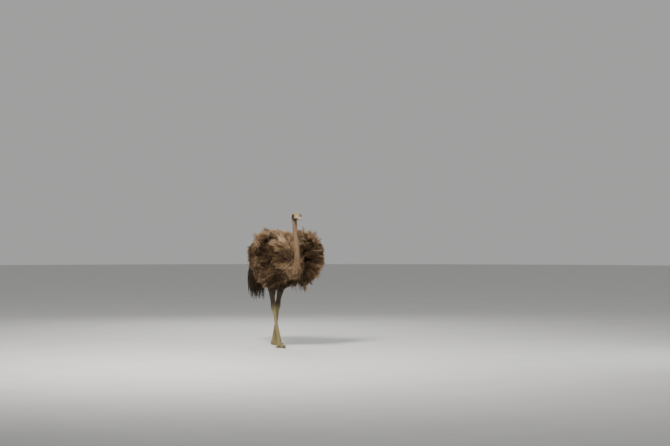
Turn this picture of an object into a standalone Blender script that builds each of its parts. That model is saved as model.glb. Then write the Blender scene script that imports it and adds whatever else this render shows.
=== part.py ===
"""Life-size adult female ostrich, walking slowly with her wings held off her sides.

The bird faces -Y, her left side is +X and the floor is Z = 0. The solids are the outer shape of the coat:
the plumage of trunk, wings and tail is modelled out to the feather tips, neck and head out to their down.
"""

import math

import bmesh
import bpy
from mathutils import Matrix, Vector

# ---------------------------------------------------------------- driving dimensions, in metres

GAP = 0.0004  # clearance between neighbouring solids

# Plumage of the trunk, breast to rump: (y, z of the middle, half width, height above, depth below)
TRUNK = (
    (-0.445, 0.965, 0.075, 0.100, 0.090),
    (-0.405, 0.985, 0.145, 0.200, 0.185),
    (-0.320, 1.005, 0.195, 0.300, 0.285),
    (-0.180, 1.025, 0.240, 0.360, 0.345),
    (0.000, 1.035, 0.268, 0.365, 0.370),
    (0.180, 1.045, 0.265, 0.345, 0.365),
    (0.340, 1.060, 0.220, 0.280, 0.310),
    (0.460, 1.070, 0.155, 0.190, 0.215),
    (0.545, 1.070, 0.080, 0.095, 0.110),
)
TRUNK_RINGS, TRUNK_SIDES = 27, 28
SHAG_ROWS, SHAG_COLUMNS = 8, 9
SHAG_DEPTH = 0.036
SHAG_INSET = 0.35  # share of that depth by which the hollows lie inside the stations' size
PLUMP = 2.15  # power of the trunk's cross-section; 2 is an ellipse and more is squarer

# Neck from inside the breast to under the skull: (x, y, z, half width, half depth)
NECK = (
    (0.000, -0.320, 0.920, 0.078, 0.080),
    (0.000, -0.410, 0.905, 0.066, 0.068),
    (0.000, -0.492, 0.930, 0.054, 0.054),
    (-0.003, -0.532, 1.005, 0.040, 0.042),
    (-0.004, -0.535, 1.105, 0.035, 0.037),
    (-0.004, -0.520, 1.210, 0.033, 0.035),
    (-0.004, -0.498, 1.310, 0.031, 0.033),
    (-0.005, -0.479, 1.405, 0.030, 0.032),
    (-0.006, -0.474, 1.480, 0.031, 0.034),
    (-0.009, -0.488, 1.534, 0.030, 0.033),
)
NECK_RINGS, NECK_SIDES = 32, 14
NECK_PARTING = 0.56  # share of the neck that is its lower length

# Head, in its own frame: +Y forward, +Z up, its origin midway between the eyes.
HEAD_AT = Vector((-0.014, -0.536, 1.549))
HEAD_TURN = math.radians(1.0)  # towards the bird's right
HEAD_NOD = math.radians(7.0)  # bill down
# (y, z of the middle, half width, height above, depth below)
SKULL = (
    (-0.080, -0.008, 0.016, 0.018, 0.018),
    (-0.071, -0.006, 0.033, 0.034, 0.034),
    (-0.048, -0.002, 0.046, 0.047, 0.043),
    (-0.020, 0.001, 0.052, 0.051, 0.043),
    (0.006, 0.001, 0.053, 0.048, 0.040),
    (0.028, -0.001, 0.045, 0.038, 0.035),
    (0.048, -0.005, 0.034, 0.025, 0.029),
    (0.060, -0.008, 0.029, 0.018, 0.021),
)
SKULL_RINGS, SKULL_SIDES = 13, 16
EYE_AT = Vector((0.0375, 0.004, 0.008))
EYE_RADIUS = 0.0215
EYE_SEGMENTS, EYE_RINGS = 14, 8

# Bill, in the head's frame: (y, z of the middle, half width, height above, depth below)
UPPER_BILL = (
    (0.000, -0.0040, 0.0285, 0.0130, 0.0100),
    (0.025, -0.0055, 0.0270, 0.0110, 0.0085),
    (0.050, -0.0080, 0.0245, 0.0090, 0.0065),
    (0.068, -0.0105, 0.0195, 0.0080, 0.0060),
    (0.079, -0.0145, 0.0105, 0.0060, 0.0055),
)
LOWER_BILL = (
    (0.000, -0.0215, 0.0255, 0.0070, 0.0070),
    (0.025, -0.0205, 0.0240, 0.0060, 0.0065),
    (0.048, -0.0200, 0.0215, 0.0050, 0.0060),
    (0.064, -0.0212, 0.0165, 0.0042, 0.0050),
    (0.072, -0.0235, 0.0090, 0.0030, 0.0035),
)
BILL_BASE = 0.060  # where the horn meets the skin of the face
BILL_RINGS, BILL_SIDES = 8, 12
BILL_SQUARENESS = 2.3  # power of its cross-section

# Wings. A wing bows round the flank about an axis along Y, with a hollow in its front where the arm lies.
WING_AXIS_X, WING_AXIS_Z = 0.060, 1.045
WING_TOP, WING_BOTTOM = math.radians(82.0), math.radians(-68.0)
WING_RADII = (0.375, 0.430, 0.464, 0.458, 0.414, 0.396, 0.402)  # outer, from the top edge round to the bottom
WING_TAPER = (0.91, 0.965, 0.84, 0.73, 0.62, 0.51)  # of those radii, from front to rear
WING_DEPTH = (0.040, 0.120, 0.190, 0.190, 0.110, 0.014)  # of the plumage inside those radii, front to rear
WING_FRONT = (-0.150, -0.260, -0.315, -0.325, -0.300, -0.235)  # y of the front rim, top to bottom
WING_REAR = (0.130, 0.220, 0.270, 0.280, 0.220, 0.130)  # y of the plume tips, top to bottom
WING_EDGE = 0.012  # least thickness of the plumage at its edges
WING_COLUMNS, WING_ROWS = 25, 8
WING_TIPS = 6
TIP_LENGTH = 0.045  # how far each plume clump reaches beyond the notch beside it
TIP_RELIEF = 0.022  # how far it stands out of the wing
ARM = ((0.120, -0.170, 1.160), (0.230, -0.200, 1.195), (0.330, -0.215, 1.190), (0.405, -0.215, 1.140))
ARM_RADIUS = 0.036
ARM_RINGS, ARM_SIDES = 5, 8

# Tail: (y, z, half width, thickness) down the middle of the hanging plumes
TAIL = (
    (0.480, 1.130, 0.075, 0.090),
    (0.570, 1.105, 0.105, 0.100),
    (0.625, 1.010, 0.125, 0.095),
    (0.640, 0.870, 0.130, 0.080),
    (0.625, 0.720, 0.120, 0.055),
    (0.600, 0.520, 0.095, 0.014),
)
TAIL_COLUMNS, TAIL_ROWS = 17, 11
TAIL_TIPS = 4
TAIL_NOTCH, TAIL_ROUNDING = 0.09, 0.16  # shares of the tail's length lost between tips, and at its sides
TAIL_CURL = 0.05

# Legs: (x, y, z, half width, half depth) of the bird's left leg, which trails, and of the right, which leads.
LEFT_LEG = (
    (0.115, 0.060, 0.900, 0.075, 0.110),
    (0.122, 0.130, 0.780, 0.062, 0.080),
    (0.120, 0.187, 0.670, 0.040, 0.050),
    (0.108, 0.213, 0.560, 0.028, 0.033),
    (0.097, 0.222, 0.468, 0.034, 0.041),
    (0.090, 0.222, 0.400, 0.0205, 0.026),
    (0.080, 0.232, 0.250, 0.0190, 0.024),
    (0.070, 0.250, 0.120, 0.0240, 0.029),
    (0.066, 0.252, 0.052, 0.0310, 0.036),
)
RIGHT_LEG = (
    (-0.125, -0.190, 0.900, 0.075, 0.110),
    (-0.132, -0.150, 0.780, 0.062, 0.080),
    (-0.131, -0.112, 0.670, 0.040, 0.050),
    (-0.114, -0.094, 0.560, 0.028, 0.033),
    (-0.098, -0.093, 0.468, 0.034, 0.041),
    (-0.092, -0.103, 0.400, 0.0205, 0.026),
    (-0.080, -0.133, 0.250, 0.0190, 0.024),
    (-0.070, -0.165, 0.120, 0.0240, 0.029),
    (-0.066, -0.172, 0.052, 0.0310, 0.036),
)
LEG_SIDES = 12
LEG_PARTS = (  # node, first and last share of the leg, rings
    ("thigh", 0.0, 0.27, 6),
    ("shank", 0.27, 0.50, 7),
    ("tarsus", 0.50, 1.0, 13),
)

# Toes, in the foot's frame: forward is -Y and the outer side is +X: (x, y, half width, height)
MAIN_TOE = (
    (-0.004, 0.038, 0.022, 0.034),
    (-0.004, 0.020, 0.033, 0.062),
    (-0.005, -0.030, 0.030, 0.056),
    (-0.006, -0.075, 0.0285, 0.043),
    (-0.007, -0.115, 0.0285, 0.040),
    (-0.008, -0.145, 0.0230, 0.032),
    (-0.008, -0.158, 0.0140, 0.022),
)
OUTER_TOE = (
    (0.010, 0.010, 0.014, 0.036),
    (0.024, -0.022, 0.0205, 0.040),
    (0.039, -0.055, 0.0190, 0.033),
    (0.052, -0.084, 0.0185, 0.030),
    (0.060, -0.103, 0.0120, 0.020),
)
CLAW = (  # (x, y, z, half width, half height)
    (-0.008, -0.140, 0.0190, 0.0145, 0.0110),
    (-0.008, -0.160, 0.0180, 0.0130, 0.0100),
    (-0.009, -0.182, 0.0130, 0.0095, 0.0070),
    (-0.010, -0.202, 0.0065, 0.0035, 0.0035),
)
TOE_RINGS, TOE_SIDES = 10, 12
TOE_SQUARENESS = 2.3  # power of its cross-section
CLAW_RINGS, CLAW_SIDES = 6, 8
TOE_MIDDLE = 0.46  # height of a toe's widest line, as a share of the toe's height
TOE_OUT = math.radians(6.0)  # how far each foot points outwards

COLOURS = {  # Principled base colour and roughness
    "plumage": ((0.150, 0.105, 0.078), 0.90),
    "wing_plumes": ((0.125, 0.090, 0.065), 0.90),
    "tail_plumes": ((0.060, 0.048, 0.034), 0.90),
    "neck_down": ((0.340, 0.245, 0.180), 0.90),
    "head_down": ((0.360, 0.300, 0.205), 0.90),
    "horn": ((0.290, 0.235, 0.175), 0.45),
    "eye": ((0.045, 0.022, 0.012), 0.08),
    "leg_skin": ((0.215, 0.185, 0.125), 0.70),
    "claw": ((0.060, 0.050, 0.042), 0.40),
}


# ---------------------------------------------------------------- shape functions


def along(stations, share):
    """The smooth curve through the stations, read at a share from 0 to 1 of their number."""
    place = min(max(share, 0.0), 1.0) * (len(stations) - 1)
    i = min(int(place), len(stations) - 2)
    t = place - i
    p = [stations[min(max(k, 0), len(stations) - 1)] for k in (i - 1, i, i + 1, i + 2)]
    if not hasattr(p[0], "__len__"):
        return along([(value,) for value in stations], share)[0]
    return tuple(
        0.5 * (2 * b + (c - a) * t + (2 * a - 5 * b + 4 * c - d) * t**2 + (3 * b - a - 3 * c + d) * t**3)
        for a, b, c, d in zip(*p)
    )


def shares(count, first=0.0, last=1.0):
    return [first + (last - first) * k / (count - 1) for k in range(count)]


def oval(sides, power=2.0):
    """Unit points (across, up) round an oval; a power above 2 squares it."""
    points = []
    for k in range(sides):
        c, s = math.cos(2 * math.pi * k / sides), math.sin(2 * math.pi * k / sides)
        points.append((math.copysign(abs(c) ** (2 / power), c), math.copysign(abs(s) ** (2 / power), s)))
    return points


def uneven_ring(middle, half_width, above, below, sides, power=2.0):
    """A ring across +Y that reaches a different distance above and below its middle."""
    x, y, z = middle
    outline = oval(sides, power)
    return [Vector((x + half_width * c, y, z + (above if s > 0 else below) * s)) for c, s in outline]


def path_frame(stations, share, sideways=Vector((1, 0, 0))):
    """The middle of a path, its direction, the side nearest to sideways and the one square to both."""
    step = 0.01
    middle = Vector(along(stations, share)[:3])
    ahead = Vector(along(stations, share + step)[:3])
    behind = Vector(along(stations, share - step)[:3])
    forward = (ahead - behind).normalized()
    side = (sideways - forward * forward.dot(sideways)).normalized()
    return middle, forward, side, side.cross(forward)


def path_ring(stations, share, sides, slip=0.0, sideways=Vector((1, 0, 0))):
    """An oval ring square to a path of (x, y, z, half width, half depth)."""
    middle, forward, side, across = path_frame(stations, share, sideways)
    half_width, half_depth = along(stations, share)[3:]
    middle = middle + forward * slip
    return [middle + side * half_width * c + across * half_depth * s for c, s in oval(sides)]


def mesh_object(name, points, faces, material, matrix=None):
    """A closed mesh of triangles that face outwards, as an object of the scene."""
    mesh = bpy.data.meshes.new(name)
    mesh.from_pydata([tuple(p) for p in points], [], faces)
    if matrix:
        mesh.transform(matrix)
    shape = bmesh.new()
    shape.from_mesh(mesh)
    bmesh.ops.triangulate(shape, faces=shape.faces)
    if shape.calc_volume(signed=True) < 0:
        bmesh.ops.reverse_faces(shape, faces=shape.faces)
    shape.to_mesh(mesh)
    shape.free()
    mesh.materials.append(bpy.data.materials[material])
    made = bpy.data.objects.new(name, mesh)
    bpy.context.scene.collection.objects.link(made)
    return made


def loft(name, rings, material, matrix=None):
    """A closed solid through rings of equally many points, with a fan to the middle of each end."""
    sides = len(rings[0])
    points = [p for ring in rings for p in ring]
    faces = []
    for i in range(len(rings) - 1):
        for k in range(sides):
            a, b = i * sides + k, i * sides + (k + 1) % sides
            faces.append((a, b, b + sides, a + sides))
    for first, ring in ((0, rings[0]), (len(points) - sides, rings[-1])):
        points.append(sum(ring, Vector()) / sides)
        hub = len(points) - 1
        for k in range(sides):
            corner, following = first + k, first + (k + 1) % sides
            faces.append((hub, following, corner) if first == 0 else (hub, corner, following))
    return mesh_object(name, points, faces, material, matrix)


def shell(name, outer_surface, inner_surface, columns, rows, material):
    """A closed solid between two surfaces(across, down) that are joined along their rims."""
    places = [(u, v) for v in shares(rows) for u in shares(columns)]
    points = [outer_surface(u, v) for u, v in places] + [inner_surface(u, v) for u, v in places]
    offset = len(places)
    faces = []
    for r in range(rows - 1):
        for c in range(columns - 1):
            a = r * columns + c
            faces.append((a, a + 1, a + columns + 1, a + columns))
            faces.append((offset + a, offset + a + columns, offset + a + columns + 1, offset + a + 1))
    rim = list(range(columns))
    rim += [r * columns + columns - 1 for r in range(1, rows)]
    rim += [(rows - 1) * columns + c for c in range(columns - 2, -1, -1)]
    rim += [r * columns for r in range(rows - 2, 0, -1)]
    for k, a in enumerate(rim):
        b = rim[(k + 1) % len(rim)]
        faces.append((b, a, offset + a, offset + b))
    return mesh_object(name, points, faces, material)


def combine(body, tool, operation="DIFFERENCE"):
    """Takes the tool away from the body, or joins it on, with an exact Boolean. The tool is used up."""
    modifier = body.modifiers.new("with " + tool.name, "BOOLEAN")
    modifier.operation = operation
    modifier.solver = "EXACT"
    modifier.object = tool
    graph = bpy.context.evaluated_depsgraph_get()
    body.data = bpy.data.meshes.new_from_object(body.evaluated_get(graph))
    body.modifiers.clear()
    bpy.data.objects.remove(tool)


def part_from(body, *neighbours):
    """Cuts the neighbours out of the body, and the clearance round them."""
    for neighbour in neighbours:
        tool = bpy.data.objects.new("grown " + neighbour.name, neighbour.data.copy())
        bpy.context.scene.collection.objects.link(tool)
        normals = [item.vector.copy() for item in neighbour.data.vertex_normals]
        for vertex, normal in zip(tool.data.vertices, normals):
            vertex.co += normal * GAP
        combine(body, tool)


def drop_scraps(body):
    """Keeps the largest body of a mesh that a cut has left in pieces."""
    shape = bmesh.new()
    shape.from_mesh(body.data)
    pieces, seen = [], set()
    for start in shape.verts:
        if start in seen:
            continue
        piece, ends = [start], [start]
        seen.add(start)
        while ends:
            vertex = ends.pop()
            near = [edge.other_vert(vertex) for edge in vertex.link_edges]
            fresh = [other for other in near if other not in seen]
            seen.update(fresh)
            ends += fresh
            piece += fresh
        pieces.append(piece)
    for piece in sorted(pieces, key=len)[:-1]:
        bmesh.ops.delete(shape, geom=piece, context="VERTS")
    shape.to_mesh(body.data)
    shape.free()


def make_materials():
    for name, (colour, roughness) in COLOURS.items():
        material = bpy.data.materials.new(name)
        material.use_nodes = True
        shader = material.node_tree.nodes["Principled BSDF"]
        shader.inputs["Base Color"].default_value = (*colour, 1.0)
        shader.inputs["Roughness"].default_value = roughness


# ---------------------------------------------------------------- trunk


def shag(around, down):
    """0 to 1: how far the overlapping plume clumps stand out at a place on the trunk."""
    row = down * SHAG_ROWS
    column = around * SHAG_COLUMNS + (0.5 if int(row) % 2 else 0.0)
    lift = (row - int(row)) ** 1.5
    crown = math.sin(math.pi * (column % 1.0)) ** 0.7
    return lift * crown


def make_trunk():
    rings = []
    for share in shares(TRUNK_RINGS):
        y, z, half_width, above, below = along(TRUNK, share)
        ring = uneven_ring((0, y, z), half_width, above, below, TRUNK_SIDES, PLUMP)
        fade = math.sin(math.pi * share) ** 0.4
        middle = Vector((0, y, z))
        for k, point in enumerate(ring):
            out = (point - middle).normalized()
            ring[k] = point + out * SHAG_DEPTH * fade * (shag(k / TRUNK_SIDES, share) - SHAG_INSET)
        rings.append(ring)
    return loft("trunk", rings, "plumage")


# ---------------------------------------------------------------- neck and head


def make_neck():
    pieces = []
    for name, first, last in (("neck_lower", 0.0, NECK_PARTING), ("neck_upper", NECK_PARTING, 1.0)):
        rings = [
            path_ring(NECK, s, NECK_SIDES, GAP if first else 0.0)
            for s in shares(round(NECK_RINGS * (last - first)), first, last)
        ]
        pieces.append(loft(name, rings, "neck_down"))
    return pieces


def head_matrix():
    turn = Matrix.Rotation(math.pi - HEAD_TURN, 4, "Z")
    return Matrix.Translation(HEAD_AT) @ turn @ Matrix.Rotation(-HEAD_NOD, 4, "X")


def head_loft(name, stations, count, sides, material, start=0.0, power=2.0):
    rings = []
    for share in shares(count):
        y, z, half_width, above, below = along(stations, share)
        rings.append(uneven_ring((0, y + start, z), half_width, above, below, sides, power))
    return loft(name, rings, material, head_matrix())


def make_eye(name, centre):
    rings = []
    for k in range(1, EYE_RINGS):
        polar = math.pi * k / EYE_RINGS
        across, out = -math.cos(polar) * EYE_RADIUS, math.sin(polar) * EYE_RADIUS
        rings.append([centre + Vector((across, c * out, s * out)) for c, s in oval(EYE_SEGMENTS)])
    return loft(name, rings, "eye", head_matrix())


def make_head():
    skull = head_loft("head", SKULL, SKULL_RINGS, SKULL_SIDES, "head_down")
    for side, word in ((-1, "left"), (1, "right")):
        part_from(skull, make_eye(f"eye_{word}", Vector((side * EYE_AT.x, EYE_AT.y, EYE_AT.z))))
    head_loft("bill_upper", UPPER_BILL, BILL_RINGS, BILL_SIDES, "horn", BILL_BASE + GAP, BILL_SQUARENESS)
    head_loft("bill_lower", LOWER_BILL, BILL_RINGS, BILL_SIDES, "horn", BILL_BASE + GAP, BILL_SQUARENESS)
    return skull


# ---------------------------------------------------------------- wings and tail


def tip_notch(place, tips):
    """0 at the point of a plume and 1 between two of them."""
    return abs(2 * ((place * tips) % 1.0) - 1)


def wing_surface(side, inner):
    """A surface of a wing: across goes from its top edge to its bottom edge, down from front to rear."""

    def surface(u, v):
        notch = tip_notch(u, WING_TIPS)
        radius = along(WING_RADII, u) * along(WING_TAPER, v) - TIP_RELIEF * notch
        if inner:
            depth = along(WING_DEPTH, v) * (1 - (2 * abs(u - 0.5)) ** 4)
            radius -= max(depth, WING_EDGE)
        front, rear = along(WING_FRONT, u), along(WING_REAR, u) - TIP_LENGTH * notch
        angle = WING_TOP + (WING_BOTTOM - WING_TOP) * u
        return Vector(
            (
                side * (WING_AXIS_X + radius * math.cos(angle)),
                front + (rear - front) * v,
                WING_AXIS_Z + radius * math.sin(angle),
            )
        )

    return surface


def make_wing(word, side, trunk):
    surfaces = wing_surface(side, False), wing_surface(side, True)
    wing = shell(f"wing_{word}", *surfaces, WING_COLUMNS, WING_ROWS, "wing_plumes")
    stations = [(side * x, y, z, ARM_RADIUS, ARM_RADIUS) for x, y, z in ARM]
    rings = [path_ring(stations, s, ARM_SIDES, sideways=Vector((0, 1, 0))) for s in shares(ARM_RINGS)]
    combine(wing, loft(f"arm_{word}", rings, "wing_plumes"), "UNION")
    part_from(wing, trunk)
    drop_scraps(wing)
    return wing


def tail_surface(inner):
    """A surface of the tail: across goes from right to left, down from the rump to the tips."""

    def surface(u, v):
        across = 2 * u - 1
        reach = v * (1 - TAIL_NOTCH * tip_notch(u, TAIL_TIPS) - TAIL_ROUNDING * across**2)
        y, z, half_width, thickness = along(TAIL, reach)
        half_thickness = max(thickness * (1 - across**4), WING_EDGE) / 2
        middle_y = y - TAIL_CURL * across**2
        return Vector((half_width * across, middle_y + (-half_thickness if inner else half_thickness), z))

    return surface


def make_tail(trunk):
    tail = shell("tail", tail_surface(False), tail_surface(True), TAIL_COLUMNS, TAIL_ROWS, "tail_plumes")
    part_from(tail, trunk)


# ---------------------------------------------------------------- legs and feet


def toe_ring(x, y, half_width, height, direction):
    """A ring of a toe: flat on the floor, arched above."""
    side = Vector((-direction.y, direction.x, 0))
    ring = []
    for c, s in oval(TOE_SIDES, TOE_SQUARENESS):
        up = max(TOE_MIDDLE * height + (1 - TOE_MIDDLE) * height * s, 0.0)
        ring.append(Vector((x, y, 0)) + side * half_width * c + Vector((0, 0, up)))
    return ring


def make_toe(name, stations, matrix):
    rings = []
    for share in shares(TOE_RINGS):
        ahead, behind = along(stations, share + 0.02), along(stations, share - 0.02)
        direction = Vector((ahead[0] - behind[0], ahead[1] - behind[1], 0)).normalized()
        rings.append(toe_ring(*along(stations, share), direction))
    return loft(name, rings, "leg_skin", matrix)


def make_leg(word, side, stations, *plumage):
    pieces = {}
    for k, (part, first, last, count) in enumerate(LEG_PARTS):
        rings = [path_ring(stations, s, LEG_SIDES, k * GAP) for s in shares(count, first, last)]
        pieces[part] = loft(f"{part}_{word}", rings, "leg_skin")
    part_from(pieces["thigh"], *plumage)
    ankle = stations[-1]
    foot = Matrix.Translation((ankle[0], ankle[1], 0)) @ Matrix.Rotation(side * TOE_OUT, 4, "Z")
    foot = foot @ Matrix.Diagonal((side, 1, 1, 1))
    main_toe = make_toe(f"toe_main_{word}", MAIN_TOE, foot)
    outer_toe = make_toe(f"toe_outer_{word}", OUTER_TOE, foot)
    claw = loft(f"claw_{word}", [path_ring(CLAW, s, CLAW_SIDES) for s in shares(CLAW_RINGS)], "claw", foot)
    part_from(main_toe, pieces["tarsus"])
    part_from(outer_toe, pieces["tarsus"], main_toe)
    part_from(claw, main_toe)


# ---------------------------------------------------------------- the bird


def stand_on_origin():
    """Moves the bird so that the middle of its box is over the origin, on the floor."""
    corners = [vertex.co for item in bpy.context.scene.objects for vertex in item.data.vertices]
    low = [min(c[k] for c in corners) for k in range(3)]
    high = [max(c[k] for c in corners) for k in range(3)]
    shift = Matrix.Translation((-(low[0] + high[0]) / 2, -(low[1] + high[1]) / 2, -low[2]))
    for item in bpy.context.scene.objects:
        item.data.transform(shift)


def main():
    for item in list(bpy.data.objects):
        bpy.data.objects.remove(item)
    make_materials()
    trunk = make_trunk()
    neck_lower, neck_upper = make_neck()
    part_from(neck_lower, trunk)
    part_from(neck_upper, make_head())
    wing_left = make_wing("left", 1, trunk)
    wing_right = make_wing("right", -1, trunk)
    make_tail(trunk)
    make_leg("left", 1, LEFT_LEG, trunk, wing_left)
    make_leg("right", -1, RIGHT_LEG, trunk, wing_right)
    stand_on_origin()


main()
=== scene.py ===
"""A life-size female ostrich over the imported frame: one skin, with eyes, bill, claws, down and plumes.

Metres throughout; the bird faces -Y, her left side is +X and the floor is Z = 0.
"""

import math

import bpy
import numpy as np
import openvdb
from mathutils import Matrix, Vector


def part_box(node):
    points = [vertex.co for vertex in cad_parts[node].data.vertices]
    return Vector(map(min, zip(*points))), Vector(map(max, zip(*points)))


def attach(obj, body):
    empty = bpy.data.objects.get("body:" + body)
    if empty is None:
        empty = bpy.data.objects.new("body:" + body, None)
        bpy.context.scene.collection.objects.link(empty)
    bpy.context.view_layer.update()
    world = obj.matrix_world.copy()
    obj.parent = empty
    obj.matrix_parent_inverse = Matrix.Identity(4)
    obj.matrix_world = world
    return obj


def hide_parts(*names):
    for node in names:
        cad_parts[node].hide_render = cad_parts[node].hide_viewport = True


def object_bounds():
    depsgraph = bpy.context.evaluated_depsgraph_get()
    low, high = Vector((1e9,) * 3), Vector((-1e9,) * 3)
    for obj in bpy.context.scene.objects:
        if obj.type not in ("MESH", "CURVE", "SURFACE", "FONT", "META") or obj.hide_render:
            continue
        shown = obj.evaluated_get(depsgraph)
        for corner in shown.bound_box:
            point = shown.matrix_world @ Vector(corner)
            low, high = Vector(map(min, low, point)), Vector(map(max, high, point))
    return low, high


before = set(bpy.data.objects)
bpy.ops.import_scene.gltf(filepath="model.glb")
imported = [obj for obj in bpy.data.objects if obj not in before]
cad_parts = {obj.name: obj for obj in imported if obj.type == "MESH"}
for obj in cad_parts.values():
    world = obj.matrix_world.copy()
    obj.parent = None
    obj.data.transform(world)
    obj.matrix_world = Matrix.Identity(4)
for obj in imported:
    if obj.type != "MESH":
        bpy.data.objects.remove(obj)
cad_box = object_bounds()

rng = np.random.default_rng(20)

# ---- route of the body, as in the solids

# Neck from inside the breast to under the skull: (x, y, z, half width, half depth)
NECK = (
    (0.000, -0.320, 0.920, 0.078, 0.080),
    (0.000, -0.410, 0.905, 0.066, 0.068),
    (0.000, -0.492, 0.930, 0.054, 0.054),
    (-0.003, -0.532, 1.005, 0.040, 0.042),
    (-0.004, -0.535, 1.105, 0.035, 0.037),
    (-0.004, -0.520, 1.210, 0.033, 0.035),
    (-0.004, -0.498, 1.310, 0.031, 0.033),
    (-0.005, -0.479, 1.405, 0.030, 0.032),
    (-0.006, -0.474, 1.480, 0.031, 0.034),
)
NECK_KEYS = len(NECK)
NECK_DOWN = 0.006  # depth of the neck's down
HEAD_TURN, HEAD_NOD = math.radians(1.0), math.radians(7.0)
EYE_AT = np.array((0.0375, 0.004, 0.008))  # in the head's frame, on its +X side
EYE_RADIUS = 0.0215
# Head and the top of the neck, in the head's frame:
# (y, z of the middle, tilt of the ring in degrees, half width, reach towards crown, reach towards throat)
SKULL = (
    (-0.050, -0.047, 82.0, 0.0310, 0.0310, 0.0290),
    (-0.043, -0.017, 56.0, 0.0420, 0.0380, 0.0350),
    (-0.028, -0.001, 28.0, 0.0480, 0.0430, 0.0390),
    (-0.008, 0.001, 8.0, 0.0505, 0.0440, 0.0385),
    (0.012, 0.000, 0.0, 0.0490, 0.0400, 0.0345),
    (0.030, -0.002, 0.0, 0.0405, 0.0315, 0.0300),
    (0.046, -0.005, 0.0, 0.0320, 0.0220, 0.0250),
    (0.060, -0.008, 0.0, 0.0275, 0.0165, 0.0195),
)
# Bill, in the head's frame: (distance from its base, z of the middle, half width, reach up, reach down)
BILL_BASE = 0.060
BILL_INSET = 0.0035  # how far its halves start under the face's skin
UPPER_BILL = (
    (0.000, -0.0040, 0.0285, 0.0130, 0.0100),
    (0.025, -0.0055, 0.0270, 0.0110, 0.0085),
    (0.050, -0.0080, 0.0245, 0.0090, 0.0065),
    (0.068, -0.0105, 0.0195, 0.0080, 0.0060),
    (0.079, -0.0145, 0.0105, 0.0060, 0.0055),
)
LOWER_BILL = (
    (0.000, -0.0215, 0.0255, 0.0070, 0.0070),
    (0.025, -0.0205, 0.0240, 0.0060, 0.0065),
    (0.048, -0.0200, 0.0215, 0.0050, 0.0060),
    (0.064, -0.0212, 0.0165, 0.0042, 0.0050),
    (0.072, -0.0235, 0.0090, 0.0030, 0.0035),
)
# Legs from thigh to ankle: (x and y of the left leg, x and y of the right leg, z, half width, half depth)
LEG_TABLE = (
    (0.115, 0.060, -0.125, -0.190, 0.900, 0.075, 0.110),
    (0.122, 0.130, -0.132, -0.150, 0.780, 0.062, 0.080),
    (0.120, 0.187, -0.131, -0.112, 0.670, 0.040, 0.050),
    (0.108, 0.213, -0.114, -0.094, 0.560, 0.028, 0.033),
    (0.097, 0.222, -0.098, -0.093, 0.468, 0.034, 0.041),
    (0.090, 0.222, -0.092, -0.103, 0.400, 0.0205, 0.026),
    (0.080, 0.232, -0.080, -0.133, 0.250, 0.0190, 0.024),
    (0.070, 0.250, -0.070, -0.165, 0.120, 0.0240, 0.029),
    (0.066, 0.252, -0.066, -0.172, 0.052, 0.0310, 0.036),
)
LEGS = (
    ("left", 1, [row[:2] + row[4:] for row in LEG_TABLE]),
    ("right", -1, [row[2:] for row in LEG_TABLE]),
)
# Toes from the ankle: (x, y, half width, height)
MAIN_TOE = (
    (-0.004, 0.038, 0.022, 0.034),
    (-0.004, 0.020, 0.033, 0.062),
    (-0.005, -0.030, 0.030, 0.056),
    (-0.006, -0.075, 0.0285, 0.043),
    (-0.007, -0.115, 0.0285, 0.040),
    (-0.008, -0.145, 0.0230, 0.032),
    (-0.008, -0.158, 0.0140, 0.022),
)
OUTER_TOE = (
    (0.010, 0.010, 0.014, 0.036),
    (0.024, -0.022, 0.0205, 0.040),
    (0.039, -0.055, 0.0190, 0.033),
    (0.052, -0.084, 0.0185, 0.030),
    (0.060, -0.103, 0.0120, 0.020),
)
TOE_MIDDLE = 0.46  # height of a toe's widest part, as a share of its whole height
TOE_OUT = math.radians(6.0)
CLAW = (
    (-0.008, -0.140, 0.0190, 0.0145, 0.0110),
    (-0.008, -0.160, 0.0180, 0.0130, 0.0100),
    (-0.009, -0.182, 0.0130, 0.0095, 0.0070),
    (-0.010, -0.202, 0.0065, 0.0035, 0.0035),
)
TRUNK_AXIS_Z = 1.045
ARM = ((0.120, -0.170, 1.160), (0.230, -0.200, 1.195), (0.330, -0.215, 1.190), (0.405, -0.215, 1.140))


# ---- numbers and curves


def along(stations, share):
    """The smooth curve through the stations at each share from 0 to 1 of their number."""
    table = np.asarray(stations, float)
    place = np.clip(np.atleast_1d(share), 0, 1) * (len(table) - 1)
    i = np.minimum(place.astype(int), len(table) - 2)
    t = (place - i)[:, None]
    a, b, c = table[np.maximum(i - 1, 0)], table[i], table[i + 1]
    d = table[np.minimum(i + 2, len(table) - 1)]
    return 0.5 * (2 * b + (c - a) * t + (2 * a - 5 * b + 4 * c - d) * t**2 + (3 * b - a - 3 * c + d) * t**3)


def way_along(stations, share, columns=3, step=0.01):
    """The direction of the curve through the stations' first columns."""
    ahead, behind = along(stations, share + step), along(stations, share - step)
    return unit((ahead - behind)[:, :columns])


def unit(v):
    return v / np.maximum(np.linalg.norm(v, axis=-1, keepdims=True), 1e-12)


def tangent(vectors, normals):
    """Directions of the vectors along the surfaces with these normals."""
    return unit(vectors - normals * np.einsum("...j,...j->...", vectors, normals)[..., None])


def smooth(low, high, x):
    """0 at low and 1 at high, eased at both ends."""
    t = np.clip((x - low) / (high - low), 0, 1)
    return t * t * (3 - 2 * t)


def bell(x, width):
    return np.exp(-((x / width) ** 2))


def joined(parts):
    """Each of the parts' values in one array."""
    return [np.concatenate(values) for values in zip(*parts)]


def turn_z(angle):
    c, s = math.cos(angle), math.sin(angle)
    return np.array(((c, -s, 0), (s, c, 0), (0, 0, 1)))


def turn_x(angle):
    c, s = math.cos(angle), math.sin(angle)
    return np.array(((1, 0, 0), (0, c, -s), (0, s, c)))


HEAD_ROTATION = turn_z(math.pi - HEAD_TURN) @ turn_x(-HEAD_NOD)
HEAD_BEFORE = np.array((-0.014, -0.536, 1.549))
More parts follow.
